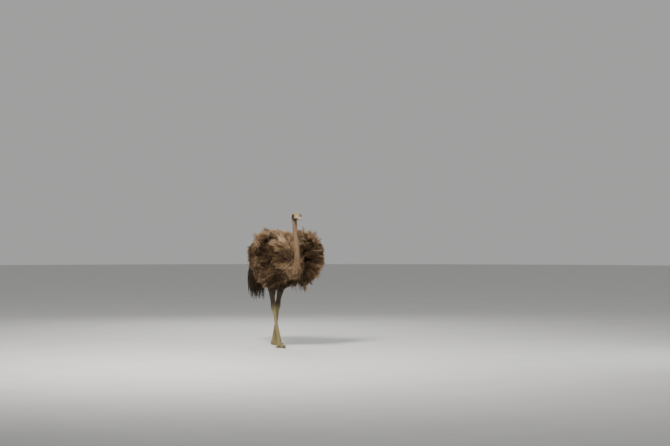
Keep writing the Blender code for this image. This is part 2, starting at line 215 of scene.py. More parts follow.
# The solids were centred on the origin after modelling: this is by how much, read from the eyes' boxes.
EYES_MIDDLE = sum(np.sum(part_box(name), 0) for name in ("eye_left", "eye_right")) / 4
OFFSET = EYES_MIDDLE - (HEAD_BEFORE + HEAD_ROTATION @ (EYE_AT * (0, 1, 1)))
HEAD_AT = HEAD_BEFORE + OFFSET


def head_to_world(points):
    return points @ HEAD_ROTATION.T + HEAD_AT


def world_to_head(points):
    return (points - HEAD_AT) @ HEAD_ROTATION


# ---- meshes


def write_values(mesh, **named):
    """Gives each point of a mesh its values."""
    for name, values in named.items():
        made = mesh.attributes.new(name, "FLOAT", "POINT")
        made.data.foreach_set("value", np.ravel(values).astype(np.float32))


def read_values(items, name, width=3, kind=np.float32):
    """A property of all of a mesh's points, corners or triangles, one row each."""
    values = np.empty(len(items) * width, kind)
    items.foreach_get(name, values)
    return values.reshape(-1, width)


def mesh_object(name, points, faces, **named):
    """An object from points, a list of face arrays, each of triangles or of quads, and its points' values."""
    mesh = bpy.data.meshes.new(name)
    sizes = np.concatenate([np.full(len(f), f.shape[1]) for f in faces])
    corners = np.concatenate([f.ravel() for f in faces]).astype(np.int32)
    mesh.vertices.add(len(points))
    mesh.vertices.foreach_set("co", np.ascontiguousarray(points, np.float32).ravel())
    mesh.loops.add(len(corners))
    mesh.loops.foreach_set("vertex_index", corners)
    mesh.polygons.add(len(sizes))
    mesh.polygons.foreach_set("loop_start", (np.cumsum(sizes) - sizes).astype(np.int32))
    mesh.update(calc_edges=True)
    mesh.shade_smooth()
    write_values(mesh, **named)
    made = bpy.data.objects.new(name, mesh)
    bpy.context.scene.collection.objects.link(made)
    return made


def placed(piece, slot, *nodes):
    """Puts a piece on the body, in place of the CAD nodes that it stands for, which it hides. Its slot is not
    used.
    """
    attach(piece, "root")
    if nodes:
        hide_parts(*nodes)
    return piece


def halves(quads):
    """Two triangles for each quad."""
    return np.concatenate((quads[:, [0, 1, 2]], quads[:, [0, 2, 3]]))


def facing_out(points, triangles, *faces):
    """Triangles of a closed surface and its other faces, turned over together if they face inwards."""
    a, b, c = (points[triangles[:, k]] for k in range(3))
    inward = np.einsum("ij,ij->", a, np.cross(b, c)) < 0
    return [f[:, ::-1] if inward else f for f in (triangles, *faces)]


def ring_quads(rings, sides, closed=False):
    """Quads between rings of points; closed joins the last ring to the first."""
    i, j = np.meshgrid(np.arange(rings if closed else rings - 1), np.arange(sides), indexing="ij")
    here, after, beside = i * sides, (i + 1) % rings * sides, (j + 1) % sides
    return np.stack((here + j, here + beside, after + beside, after + j), -1).reshape(-1, 4)


def tube(rings):
    """Points, triangles and faces of a closed tube given as (rings, sides, 3), with a fan on each end."""
    count, sides = rings.shape[:2]
    points = np.concatenate((rings.reshape(-1, 3), [rings[0].mean(0), rings[-1].mean(0)]))
    quads, first = ring_quads(count, sides), np.arange(sides)
    second, last = (first + 1) % sides, (count - 1) * sides
    hub = np.full(sides, count * sides)
    start_fan = np.stack((hub, second, first), -1)
    end_fan = np.stack((hub + 1, last + first, last + second), -1)
    fans = np.concatenate((start_fan, end_fan))
    triangles, quads, fans = facing_out(points, np.concatenate((halves(quads), fans)), quads, fans)
    return points, triangles, [quads, fans]


def tube_object(name, rings, **named):
    points, _, faces = tube(rings)
    return mesh_object(name, points, faces, **named)


def circle(sides, start=0.0):
    """Cosines and sines evenly round a circle."""
    angle = 2 * np.pi * np.arange(sides) / sides + start
    return np.cos(angle), np.sin(angle)


def squared(values, power=2.3):
    """Cosines or sines of a circle swollen towards a square."""
    return np.sign(values) * np.abs(values) ** (2 / power)


def path_rings(stations, count, sides, grow=0.0):
    """Oval rings square to a path of (x, y, z, half width, half depth)."""
    share = np.linspace(0, 1, count)
    here, forward = along(stations, share), way_along(stations, share)
    side = unit(np.array((1.0, 0.0, 0.0)) - forward * forward[:, :1])
    across = np.cross(side, forward)
    c, s = circle(sides)
    half_width, half_depth = here[:, 3, None, None] + grow, here[:, 4, None, None] + grow
    ovals = here[:, None, :3] + side[:, None] * half_width * c[None, :, None]
    return ovals + across[:, None] * half_depth * s[None, :, None] + OFFSET


# ---- distance fields


class Field:
    """Signed distance, negative inside, on a regular grid that can be read at any points."""

    def __init__(self, values, start, voxel):
        self.values, self.start, self.voxel = values, np.asarray(start), voxel

    def at(self, points):
        """The distance at the points, mixed from the eight grid points round each."""
        last = np.array(self.values.shape) - 1.001
        place = np.clip(np.asarray(points) / self.voxel - self.start, 0, last)
        i = place.astype(int)
        t = place - i
        total = 0.0
        for corner in np.ndindex(2, 2, 2):
            share = np.where(corner, t, 1 - t)
            here = self.values[tuple(np.moveaxis(i + corner, -1, 0))]
            total = total + share[..., 0] * share[..., 1] * share[..., 2] * here
        return total

    def slope(self, points):
        """The direction in which the distance grows."""
        steps = self.voxel * np.eye(3)
        return unit(np.stack([self.at(points + step) - self.at(points - step) for step in steps], -1))

    def places(self):
        """The places of the grid's points."""
        index = np.stack(np.meshgrid(*map(np.arange, self.values.shape), indexing="ij"), -1)
        return index * self.voxel + self.start * self.voxel

    def blurred(self, times):
        values = self.values
        for axis in (0, 1, 2) * times:
            padded = np.pad(np.moveaxis(values, axis, 0), ((1, 1), (0, 0), (0, 0)), mode="edge")
            values = 0.5 * values + 0.25 * np.moveaxis(padded[2:] + padded[:-2], 0, axis)
        return Field(values, self.start, self.voxel)

    def surface(self, level=0.0):
        """Points, triangles and quads of a level surface, facing out."""
        grid = openvdb.FloatGrid(10 * self.voxel)
        grid.transform = openvdb.createLinearTransform(voxelSize=self.voxel)
        grid.gridClass = openvdb.GridClass.LEVEL_SET
        grid.copyFromArray(np.ascontiguousarray(self.values, np.float32))
        points, quads = grid.convertToQuads(level)
        points, quads = points + self.start * self.voxel, quads.astype(np.int64)
        return points, *facing_out(points, halves(quads), quads)


def field_of(points, triangles, voxel, reach, low, high):
    """The distance field of a closed mesh over a box."""
    grid = openvdb.FloatGrid.createLevelSetFromPolygons(
        np.ascontiguousarray(points, np.float32),
        triangles=np.ascontiguousarray(triangles, np.uint32),
        transform=openvdb.createLinearTransform(voxelSize=voxel),
        halfWidth=reach / voxel,
    )
    start = np.floor(np.asarray(low) / voxel).astype(int)
    values = np.zeros(tuple(np.ceil(np.asarray(high) / voxel).astype(int) - start), np.float32)
    grid.copyToArray(values, ijk=tuple(int(v) for v in start))
    return Field(values, start, voxel)


def soft_union(a, b, blend):
    """The smaller of two distances, rounded where they are nearly equal."""
    h = np.clip(0.5 + 0.5 * (b - a) / blend, 0, 1)
    return b * (1 - h) + a * h - blend * h * (1 - h)


def capsule(places, a, b, radius_a, radius_b):
    """Distance to a tapered rod with round ends."""
    axis = b - a
    t = np.clip(((places - a) @ axis) / (axis @ axis), 0, 1)
    nearest = a + t[..., None] * axis
    return np.linalg.norm(places - nearest, axis=-1) - (radius_a + (radius_b - radius_a) * t)


def node_mesh(*names):
    """Points and triangles of CAD nodes, in one."""
    points, triangles, count = [], [], 0
    for name in names:
        mesh = bpy.data.objects[name].data
        mesh.calc_loop_triangles()
        points.append(read_values(mesh.vertices, "co"))
        triangles.append(read_values(mesh.loop_triangles, "vertices", kind=np.int32) + count)
        count += len(points[-1])
    return np.concatenate(points), np.concatenate(triangles)


# ---- the plumage's outer shape, and the core under it

PLUMAGE_VOXEL, PLUMAGE_MARGIN = 0.012, 0.06
PLUMAGE_Z = (0.55, 1.50)
CLOSING = 0.008  # the clearances between the solids are closed by this much and opened again
COAT_TRUNK, COAT_WING = 0.092, 0.065  # depth of the plumage over the skin
LEAST_COAT = 0.028
ARM_CORE = 0.014  # radius of the skin inside an arm's plumes
ARM_BLEND, TRUNK_BLEND = 0.01, 0.05  # how softly arms, and tail root and breast, run into the trunk
THIGH_FLESH = 0.66  # share of the thigh's width that is flesh


def slim(stations):
    """A leg's stations with the thigh as it is under the plumes."""
    return [(x, y, z, *(v * (THIGH_FLESH if z > 0.7 else 1) for v in half)) for x, y, z, *half in stations]


def plumage_field():
    low, high = np.array(cad_box[0]) - PLUMAGE_MARGIN, np.array(cad_box[1]) + PLUMAGE_MARGIN
    low[2], high[2] = PLUMAGE_Z
    mesh = node_mesh("trunk", "wing_left", "wing_right", "thigh_left", "thigh_right")
    rough = field_of(*mesh, PLUMAGE_VOXEL, 0.03, low, high)
    points, triangles, _ = rough.surface(CLOSING)
    field = field_of(points, triangles, PLUMAGE_VOXEL, 0.25, low, high)
    return Field(field.values + CLOSING, field.start, field.voxel)


outer = plumage_field()


def core_field():
    """The body's skin: the outer shape sunk by the coat's depth, with arms, thighs, tail root and breast."""
    places = outer.places()
    depth = COAT_TRUNK + (COAT_WING - COAT_TRUNK) * smooth(0.20, 0.34, np.abs(places[..., 0]))
    values = Field(outer.values + depth, outer.start, outer.voxel).blurred(2).values
    for side in (1, -1):
        joints = [np.array((side * x, y, z)) + OFFSET for x, y, z in ARM]
        for a, b in zip(joints, joints[1:]):
            values = soft_union(values, capsule(places, a, b, ARM_CORE, ARM_CORE), ARM_BLEND)
    for _, _, stations in LEGS:
        thigh = [(np.array(row[:3]) + OFFSET, row[3]) for row in slim(stations)[:3]]
        for (a, radius_a), (b, radius_b) in zip(thigh, thigh[1:]):
            values = np.minimum(values, capsule(places, a, b, radius_a, radius_b))
    root = OFFSET + (0.0, 0.36, 1.09)
    stump = capsule(places, root, root + (0, 0.17, 0.0), 0.060, 0.028)
    breast = capsule(places, OFFSET + (0, -0.30, 0.95), OFFSET + (0, -0.38, 0.93), 0.10, 0.07)
    values = soft_union(soft_union(values, stump, TRUNK_BLEND), breast, TRUNK_BLEND)
    least = LEAST_COAT * smooth(0.66, 0.74, places[..., 2])
    return Field(np.maximum(values, outer.values + least), outer.start, outer.voxel)


core = core_field()
core_points, _, core_quads = core.surface()
skin = mesh_object("skin", core_points, [core_quads])


# ---- legs and feet

LEG_VOXEL, LEG_MARGIN = 0.0037, 0.012
SCUTE, TOE_SCUTE = 0.0145, 0.0125  # spacing of the scutes down the shin and along the toes
PLATE_RISE, GROOVE_DEPTH, WRINKLE_RISE = 0.0012, 0.0014, 0.0011
TOE_BLEND = 0.006
HOCK_Z = 0.462


def toe_rings(stations, matrix, ankle):
    """Rings of a toe that is flat underneath."""
    count, sides = 60, 40
    share = np.linspace(0, 1, count)
    here, direction = along(stations, share), way_along(stations, share, 2, 0.02)
    side = np.stack((-direction[:, 1], direction[:, 0], np.zeros(count)), -1)
    c, s = map(squared, circle(sides))
    height = here[:, 3, None]
    rings = np.zeros((count, sides, 3))
    rings[..., :2] = here[:, None, :2]
    rings += side[:, None] * here[:, 2, None, None] * c[None, :, None]
    rings[..., 2] += np.maximum(TOE_MIDDLE * height + (1 - TOE_MIDDLE) * height * s[None], 0.0)
    return rings @ matrix.T + ankle


def foot_frame(side, stations):
    matrix = turn_z(side * TOE_OUT) @ np.diag((side, 1.0, 1.0))
    return matrix, np.array(stations[-1][:3]) * (1, 1, 0) + OFFSET


def scutes(points, normals, side, stations):
    """How far points are on the broad plates of shin and toes, and how far in the grooves between them."""
    matrix, ankle = foot_frame(side, stations)
    z = points[:, 2]
    path = along(stations, np.linspace(0, 1, 400))[:, :3] + OFFSET
    path = path[np.argsort(path[:, 2])]
    centre = np.stack([np.interp(z, path[:, 2], path[:, k]) for k in range(2)], -1)
    front = unit(points[:, :2] - centre) @ (matrix[:2, :2] @ (0.0, -1.0))
    local = (points - ankle) @ matrix
    shin = smooth(0.30, 0.70, front) * smooth(0.060, 0.085, z) * smooth(0.435, 0.40, z)
    toe = smooth(0.062, 0.045, z) * smooth(0.25, 0.7, normals[:, 2]) * smooth(0.01, -0.02, local[:, 1])
    shin_row = np.abs(2 * ((z / SCUTE + 0.15 * front) % 1.0) - 1)
    toe_row = np.abs(2 * ((np.hypot(local[:, 0], local[:, 1]) / TOE_SCUTE) % 1.0) - 1)
    return shin + toe, shin * smooth(0.62, 1.0, shin_row) + toe * smooth(0.55, 1.0, toe_row)


def leg_skin(word, side, stations):
    """One leg from the thigh to the toes as a single soft-jointed surface, with scutes down its front."""
    foot = foot_frame(side, stations)
    shapes = [path_rings(slim(stations), count=120, sides=40, grow=-0.0006)]
    shapes += [toe_rings(toe, *foot) for toe in (MAIN_TOE, OUTER_TOE)]
    everything = np.concatenate([rings.reshape(-1, 3) for rings in shapes])
    box = everything.min(0) - LEG_MARGIN, everything.max(0) + LEG_MARGIN
    fields = [field_of(*tube(rings)[:2], LEG_VOXEL, LEG_MARGIN, *box) for rings in shapes]
    values = fields[0].values
    for toe in fields[1:]:
        values = soft_union(values, toe.values, TOE_BLEND)
    field = Field(values, fields[0].start, LEG_VOXEL).blurred(1)
    points, _, quads = field.surface()
    normals = field.slope(points)
    plate, groove = scutes(points, normals, side, stations)
    lift = PLATE_RISE * plate - GROOVE_DEPTH * groove
    wrinkle = np.sin(points[:, 2] * 700 + 3 * np.sin(40 * points[:, 0]))
    lift += WRINKLE_RISE * bell(points[:, 2] - HOCK_Z, 0.035) * wrinkle
    points = points + normals * lift[:, None]
    points[:, 2] = np.maximum(points[:, 2], 0.0)
    return mesh_object(f"skin_leg_{word}", points, [quads])


leg_skins = [leg_skin(*leg) for leg in LEGS]


# ---- neck and head

HEAD_SIDES = 160
NECK_RINGS, HEAD_RINGS = 100, 130
APERTURE_LENGTH, APERTURE_HEIGHT = 0.0165, 0.0132  # half the opening between the lids
LID_RADIUS = EYE_RADIUS + 0.0017
LID_BRINK = 0.78 * LID_RADIUS  # from here out the lids leave the eye's ball for the cheek


def head_keys():
    """Rings of neck and head as rows of (middle, side, crownward, half width, reach up, reach down)."""
    rows = []
    share = np.linspace(0, 1, NECK_KEYS)
    head_side = -HEAD_ROTATION[:, 0]
    for k, (here, forward) in enumerate(zip(along(NECK, share), way_along(NECK, share))):
        twist = smooth(NECK_KEYS - 4, NECK_KEYS, k)
        side = unit(np.array((1.0, 0, 0)) * (1 - twist) + head_side * twist)
        side = unit(side - forward * (forward @ side))
        width, depth = here[3:] - NECK_DOWN
        rows.append((*(here[:3] + OFFSET), *side, *np.cross(forward, side), width, depth, depth))
    for y, z, tilt, *reaches in SKULL:
        crownward = HEAD_ROTATION @ (turn_x(math.radians(tilt)) @ (0, 0, 1))
        rows.append((*head_to_world(np.array((0.0, y, z))), *head_side, *crownward, *reaches))
    return np.array(rows)


def head_rings():
    """Rings of neck and head, egg-shaped towards the jaw, and the place of each among the keys."""
    keys = head_keys()
    neck_part = np.linspace(0, NECK_KEYS - 1, NECK_RINGS)
    head_part = np.linspace(NECK_KEYS - 1, len(keys) - 1, HEAD_RINGS)[1:]
    place = np.concatenate((neck_part, head_part))
    rows = along(keys, place / (len(keys) - 1))[:, None]
    half_width, above, below = (rows[..., k] for k in (9, 10, 11))
    c, s = circle(HEAD_SIDES, -np.pi / 2)
    headness = smooth(NECK_KEYS - 1, NECK_KEYS + 3, place)[:, None]
    x = half_width * c * (1 - 0.16 * headness * np.maximum(-s, 0) ** 1.5)
    reach = np.where(s > 0, above, below) * s
    rings = rows[..., :3] + unit(rows[..., 3:6]) * x[..., None] + unit(rows[..., 6:9]) * reach[..., None]
    return rings, place


def eye_frame(side):
    """In the head's frame: the eye's middle, the way it looks, and forward and up across its face."""
    look = unit(np.array((side * 0.93, 0.35, 0.06)))
    ahead = np.array((0.0, 1.0, -0.10))
    ahead = unit(ahead - look * (look @ ahead))
    up = np.cross(ahead, look) * -side
    return EYE_AT * (side, 1, 1), look, ahead, up if up[2] > 0 else -up


def from_eye(places, side):
    """Depth along an eye's look, places ahead and up across its face, and their size in lid openings."""
    centre, look, ahead, up = eye_frame(side)
    w = places - centre
    p, q = w @ ahead, w @ up
    return w @ look, p, q, np.sqrt((p / APERTURE_LENGTH) ** 2 + (q / APERTURE_HEIGHT) ** 2)


def round_eye(side, angle, stretch, drop, radius):
    """Places round the opening of the lids, on a ball about the eye's middle."""
    centre, look, ahead, up = eye_frame(side)
    p = APERTURE_LENGTH * stretch * np.cos(angle)
    q = APERTURE_HEIGHT * stretch * np.sin(angle) - drop * np.cos(angle) ** 2
    depth = np.sqrt(radius**2 - p**2 - q**2)
    return centre + look * depth[:, None] + ahead * p[:, None] + up * q[:, None]


def near_eyes(local, far, near):
    """1 within the near distance of either eye's middle, and 0 beyond the far one."""
    distances = [np.linalg.norm(local - EYE_AT * (side, 1, 1), axis=1) for side in (-1, 1)]
    return smooth(far, near, np.minimum(*distances))


def throat_shadow_at(local):
    """How far a place is on the front of the throat, painted dark as the shadow under the bill."""
    y, z = local[..., 1], local[..., 2]
    return smooth(-0.004, -0.026, z) * smooth(-0.110, -0.080, z) * smooth(-0.036, -0.014, y)


def gape_height(y):
    """The height of the line of the mouth, which runs back from the bill to under the eye."""
    return -0.0158 - 0.0040 * smooth(0.056, 0.016, y)


def gape_at(local):
    """How far a place on the head is in the line of the mouth behind the bill."""
    x, y, z = np.moveaxis(local, -1, 0)
    return bell(z - gape_height(y), 0.0019) * smooth(0.012, 0.018, y) * smooth(0.008, 0.014, np.abs(x))


def shape_head(rings, place):
    """Moves the points of the head for the eyes, lids, brows, ears, gape, cheeks, crown and throat."""
    points = world_to_head(rings)
    on_head = (place > NECK_KEYS - 0.5)[:, None]
    for side in (-1, 1):
        depth, p, q, e = from_eye(points, side)
        near = on_head & (depth > -0.02) & (points[..., 0] * side > 0)
        off = np.hypot(p, q)
        dome = np.sqrt(LID_RADIUS**2 - np.minimum(off, LID_BRINK) ** 2)
        dome -= 1.25 * np.maximum(off - LID_BRINK, 0)
        raised = -soft_union(-depth, -dome, 0.007)
        target = dome + (raised - dome) * smooth(1.10, 1.75, e)
        target -= 0.0065 * smooth(1.02, 0.84, e)  # the opening
        target -= 0.0011 * bell(e - 1.40, 0.08)  # the fold of the lids
        target += 0.0018 * bell(e - 1.72, 0.22) * smooth(0.0, 0.010, q)  # the brow
        moved = points + eye_frame(side)[1] * (target - depth)[..., None]
        points = np.where(near[..., None], moved, points)
    x, y, z = np.moveaxis(points, -1, 0)
    shift = -0.0022 * gape_at(points)
    lip = bell(z - gape_height(y) - 0.0035, 0.0022) * smooth(0.012, 0.022, y) * smooth(0.01, 0.016, np.abs(x))
    shift += 0.0012 * lip
    ear = np.sqrt((y + 0.034) ** 2 + ((z + 0.006) * 0.8) ** 2)
    shift += on_head * (-0.0042 * bell(ear, 0.0040) + 0.0013 * bell(ear - 0.0065, 0.0020))
    shift += on_head * 0.0014 * bell(np.hypot(y - 0.022, z + 0.019), 0.012)  # cheeks
    shift -= on_head * 0.0022 * bell(x, 0.016) * smooth(0.02, 0.04, z)  # flat of the crown
    throat = smooth(-0.010, -0.030, z) * smooth(0.05, 0.02, y)
    shift += on_head * throat * 0.0009 * np.sin(x * 800 + 3 * np.sin(y * 120))  # its soft folds
    return head_to_world(points + unit(points * (1, 0.2, 1)) * shift[..., None])


def neck_folds(rings, place):
    """Low rings and hollows of skin and windpipe down the neck."""
    out = unit(rings - rings.mean(1, keepdims=True))
    down = place[:, None]
    around = np.linspace(0, 2 * np.pi, rings.shape[1], endpoint=False)[None]
    wave = np.sin(down * 17 + 1.3 * np.sin(around * 2)) * 0.5
    wave = wave + np.sin(down * 43 + 2 * np.cos(around * 3)) * 0.3
    pipe = bell((around - 0.35) % (2 * np.pi), 0.5) * 0.0016
    fade = smooth(NECK_KEYS, NECK_KEYS - 1.5, down)
    return rings + out * ((0.0011 * wave + pipe) * fade)[..., None]


plain_head, ring_place = head_rings()
head_surface = shape_head(neck_folds(plain_head, ring_place), ring_place)


def lid_rim(side):
    """The thick margin of the lids, on the ball of the eye."""
    angle = np.linspace(0, 2 * np.pi, 72, endpoint=False)
    path = round_eye(side, angle, 1.0, 0.0012, EYE_RADIUS + 0.0006)
    out = unit(path - EYE_AT * (side, 1, 1))
    across = np.cross(unit(np.roll(path, -1, 0) - np.roll(path, 1, 0)), out)
    thick = (0.0013 + 0.0005 * np.sin(angle).clip(0))[:, None]
    c, s = circle(10)
    rim = path[:, None] + out[:, None] * (thick * c)[..., None] + across[:, None] * (thick * s)[..., None]
    points = head_to_world(rim.reshape(-1, 3))
    quads = ring_quads(*rim.shape[:2], closed=True)
    return mesh_object("lid_rim", points, facing_out(points, halves(quads), quads)[1:])


def union(body, *tools):
    for tool in tools:
        modifier = body.modifiers.new("join", "BOOLEAN")
        modifier.operation = "UNION"
        modifier.solver = "MANIFOLD"
        modifier.object = tool
        graph = bpy.context.evaluated_depsgraph_get()
        body.data = bpy.data.meshes.new_from_object(body.evaluated_get(graph))
        body.modifiers.clear()
        bpy.data.objects.remove(tool)


union(skin, tube_object("skin_head", head_surface), *leg_skins, lid_rim(-1), lid_rim(1))
skin.data.shade_smooth()
placed(
    skin, "leg_skin",
    "trunk", "wing_left", "wing_right", "tail", "neck_lower", "neck_upper", "head",
    "thigh_left", "thigh_right", "shank_left", "shank_right", "tarsus_left", "tarsus_right",
    "toe_main_left", "toe_main_right", "toe_outer_left", "toe_outer_right",
)  # fmt: skip


# ---- eyes, bill and claws


CORNEA_RISE, CORNEA_ANGLE = 0.0006, 0.42
BILL_RINGS, BILL_SIDES = 70, 64


def eye(word, side):
    """An eyeball with a slightly raised cornea; from_pupil is each point's angle from the pupil."""
    centre, look, ahead, up = eye_frame(side)
    sides = 64
    polar = np.linspace(0.02, np.pi - 0.02, 40)
    radius = EYE_RADIUS - 0.0002 + CORNEA_RISE * bell(polar, CORNEA_ANGLE)
    c, s = circle(sides)
    wheel = ahead * c[:, None] + up * s[:, None]
    depth, out = ((radius * way(polar))[:, None, None] for way in (np.cos, np.sin))
    angle = np.append(np.repeat(polar, sides), (0.0, np.pi))
    rings = head_to_world(centre + look * depth + out * wheel)
    made = tube_object(f"eyeball_{word}", rings, from_pupil=angle)
    return placed(made, "eye", f"eye_{word}")


eyes = [eye("left", -1), eye("right", 1)]  # sides of the head's frame, which faces the other way


def bill(name, node, stations, upper):
    """One half of the bill, with painted shade in its nostrils and on its faces towards the mouth."""
    here = along(stations, np.linspace(0, 1, BILL_RINGS))
    y, middle, half, above, below = here.T[..., None]
    c, s = map(squared, circle(BILL_SIDES))
    # The base is narrower, so that it comes out from under the skin of the face.
    waist = 0.88 + 0.12 * smooth(0.0, 0.013, y)
    x = half * c * waist
    z = middle + np.where(s > 0, above, below) * s * waist
    if upper:
        aside = np.abs(x / half)
        nostril = ((y - 0.024) / 0.0078) ** 2 + ((np.abs(x) - 0.0142) / 0.0024) ** 2
        culmen = 0.0016 * bell(aside, 0.26) * smooth(0.062, 0.030, y)
        groove = 0.0013 * bell(aside - 0.52, 0.16) * smooth(0.060, 0.045, y)
        nail = 0.0011 * smooth(0.052, 0.056, y) * smooth(0.80, 0.60, aside)
        lift = culmen - groove - 0.0034 * np.exp(-1.2 * nostril) + nail
        z = z - 0.0008 * (s < 0) + lift * (s > 0)
        # Painted shade in the nostrils and on the underside, towards the mouth.
        dark = np.maximum(np.exp(-0.8 * nostril) * (s > 0), 0.75 * smooth(0.25, -0.55, s))
    else:
        z = z + 0.0008 + 0.0014 * (s > 0)
        # Painted shade on the top of the lower bill, inside the mouth.
        dark = np.broadcast_to(0.55 * smooth(-0.25, 0.55, s), x.shape)
    y = BILL_BASE - BILL_INSET + y * (1 + BILL_INSET / stations[-1][0])
    rings = np.stack(np.broadcast_arrays(x, y, z), -1)
    made = tube_object(name, head_to_world(rings), dark=np.append(dark, (0.0, 0.0)))
    return placed(made, "horn", node)


bills = [
    bill("horn_of_upper_bill", "bill_upper", UPPER_BILL, True),
    bill("horn_of_lower_bill", "bill_lower", LOWER_BILL, False),
]


def claw(word, side, stations):
    matrix, ankle = foot_frame(side, stations)
    rings = path_rings(CLAW, count=40, sides=28) - OFFSET
    return placed(tube_object(f"nail_{word}", rings @ matrix.T + ankle), "claw", f"claw_{word}")


claws = [claw(*leg) for leg in LEGS]


# ---- thin blades: barbs, down, lashes

PATCH = 0.003  # side of a tuft's patch on the bake map


def blades(root, directions, lengths, widths, face, taper=(1.0, 0.85), thick=0.3):
    """Closed three-sided blades that end in a point: points (n, k, 3) and the triangles of one blade.

    root (n, 3); directions, one (n, 3) array for each stretch; lengths (n) whole; widths (n) at the root;
    face (n, 3) roughly square to the blade's flat side; taper, the width's share at each stretch.
    """
    stretches = len(directions)
    nodes = [root]
    for d in directions:
        nodes.append(nodes[-1] + d * (lengths / stretches)[:, None])
    points = []
    for k in range(stretches):
        run = directions[k] if k == 0 else unit(directions[k - 1] + directions[k])
        across = unit(np.cross(run, face))
        out = np.cross(across, run)
        half = (widths * taper[k] / 2)[:, None]
        points += [nodes[k] + across * half, nodes[k] - across * half, nodes[k] + out * half * 2 * thick]
    edges = ((0, 1), (1, 2), (2, 0))
    triangles = [(0, 2, 1)]
    for a in range(0, 3 * (stretches - 1), 3):
        for i, j in edges:
            triangles += [(a + i, a + j, a + 3 + j), (a + i, a + 3 + j, a + 3 + i)]
    a = 3 * (stretches - 1)
    triangles += [(a + i, a + j, a + 3) for i, j in edges]
    return np.stack((*points, nodes[-1]), 1), np.array(triangles)


def blade_nodes(stretches):
    """How far along its blade each point of it is."""
    return np.append(np.repeat(np.arange(stretches) / stretches, 3), 1.0)


TUFT_NODES, BARB_NODES = blade_nodes(2), blade_nodes(3)


def patch(mark, shape, sideways, lengthways):
    """Places inside tufts' patches on the bake map: sideways in -1..1 and lengthways in 0..1."""
    both = [np.broadcast_to(values, shape) for values in (sideways, lengthways)]
    return mark[:, None] + PATCH * np.stack(both, -1) * (0.5, 1)


def blade_piece(name, slot, points, triangles, light, place):
    """One piece of many blades: points (n, k, 3), light (n, k) and places on the bake map (n, k, 2)."""
    n, k = points.shape[:2]
    flat = points.reshape(-1, 3)
    faces = (np.arange(n)[:, None, None] * k + triangles[None]).reshape(-1, 3)
    faces = facing_out(flat, faces)[0]
    # Across a blade, -1 to 1 over its flat side, for its fibres.
    across = np.append(np.tile((1.0, -1.0, 0.0), (k - 1) // 3), 0.0)
    made = mesh_object(name, flat, [faces], shade=np.clip(light, 0, 1), across=np.tile(across, n))
    layer = made.data.uv_layers.new(name="OFBake")
    layer.data.foreach_set("uv", place.reshape(-1, 2)[faces.ravel()].astype(np.float32).ravel())
    return placed(made, slot)


# ---- seeds and the lie of the plumage

EVENNESS = 0.82  # the least distance between seeds, as a share of their spacing
TRIES = 6  # random places tried for each square of the spacing


def unwrapped(points, quads):
    """The unwrap of a surface, as the place of each quad's corners."""
    made = mesh_object("to_unwrap", points, [quads])
    bpy.ops.object.select_all(action="DESELECT")
    made.select_set(True)
    bpy.context.view_layer.objects.active = made
    bpy.ops.object.mode_set(mode="EDIT")
    bpy.ops.mesh.select_all(action="SELECT")
    bpy.ops.uv.smart_project(angle_limit=math.radians(66), island_margin=0.004)
    bpy.ops.object.mode_set(mode="OBJECT")
    places = read_values(made.data.uv_layers.active.data, "uv", 2).astype(float)
    bpy.data.objects.remove(made)
    return places.reshape(-1, 4, 2)


def sown(points, quads, marks, spacing, keep):
    """Seeds spread evenly over a surface: their places, normals and places on the bake map.

    marks (n, 4, 2) is the unwrap of the quads' corners; keep says which places may have a seed.
    """
    corners, marks = points[halves(quads)], halves(marks)
    normal = np.cross(corners[:, 1] - corners[:, 0], corners[:, 2] - corners[:, 0])
    area = np.linalg.norm(normal, axis=1) / 2
    pick = rng.choice(len(area), int(area.sum() / spacing**2 * TRIES), p=area / area.sum())
    u, v = rng.random((2, len(pick), 1))
    u, v = np.where(u + v > 1, 1 - u, u), np.where(u + v > 1, 1 - v, v)
    picked = [np.moveaxis(values[pick], 1, 0) for values in (corners, marks)]
    place, mark = (a + (b - a) * u + (c - a) * v for a, b, c in picked)
    kept = keep(place)
    place, mark, normal = place[kept], mark[kept], unit(normal)[pick][kept]
    cells, chosen, limit, near_by = {}, [], (EVENNESS * spacing) ** 2, (-1, 0, 1)
    for k, (a, b, c) in enumerate(np.floor(place / spacing).astype(int)):
        block = ((a + i, b + j, c + m) for i in near_by for j in near_by for m in near_by)
        near = [other for cell in block for other in cells.get(cell, ())]
        if not near or np.min(((place[near] - place[k]) ** 2).sum(1)) > limit:
            cells.setdefault((a, b, c), []).append(k)
            chosen.append(k)
    return place[chosen], normal[chosen], mark[chosen]


NECK_ROOT = OFFSET + (0.0, -0.42, 0.99)
WING_SOURCE = np.array((0.16, -0.32, 1.12))


def flow_at(places, normals):
    """The lie of the plumage, along the surface: away from the neck, and on the wings away from the arm."""
    mirror = np.sign(places[:, :1]) * (1, 0, 0) + (0, 1, 1)
    rump = smooth(0.30, 0.48, places[:, 1:2])
    trunk = 0.9 * unit(places - NECK_ROOT) + (0.0, 0.75, -0.40)
    trunk = trunk * (1 - rump) + np.array((0.0, 0.55, -0.85)) * rump
    wing = unit(places - WING_SOURCE * mirror - OFFSET) + (0.0, 0.35, -0.25)
    # Where the surface faces along the lie, the plumes turn backwards and out instead of parting.
    along_it = np.linalg.norm(wing - normals * np.einsum("ij,ij->i", wing, normals)[:, None], axis=1)
    wing = wing + smooth(0.80, 0.30, along_it)[:, None] * mirror * (0.5, 0.9, 0)
    share = smooth(0.20, 0.30, np.abs(places[:, :1]))
    return tangent(trunk * (1 - share) + wing * share, normals)


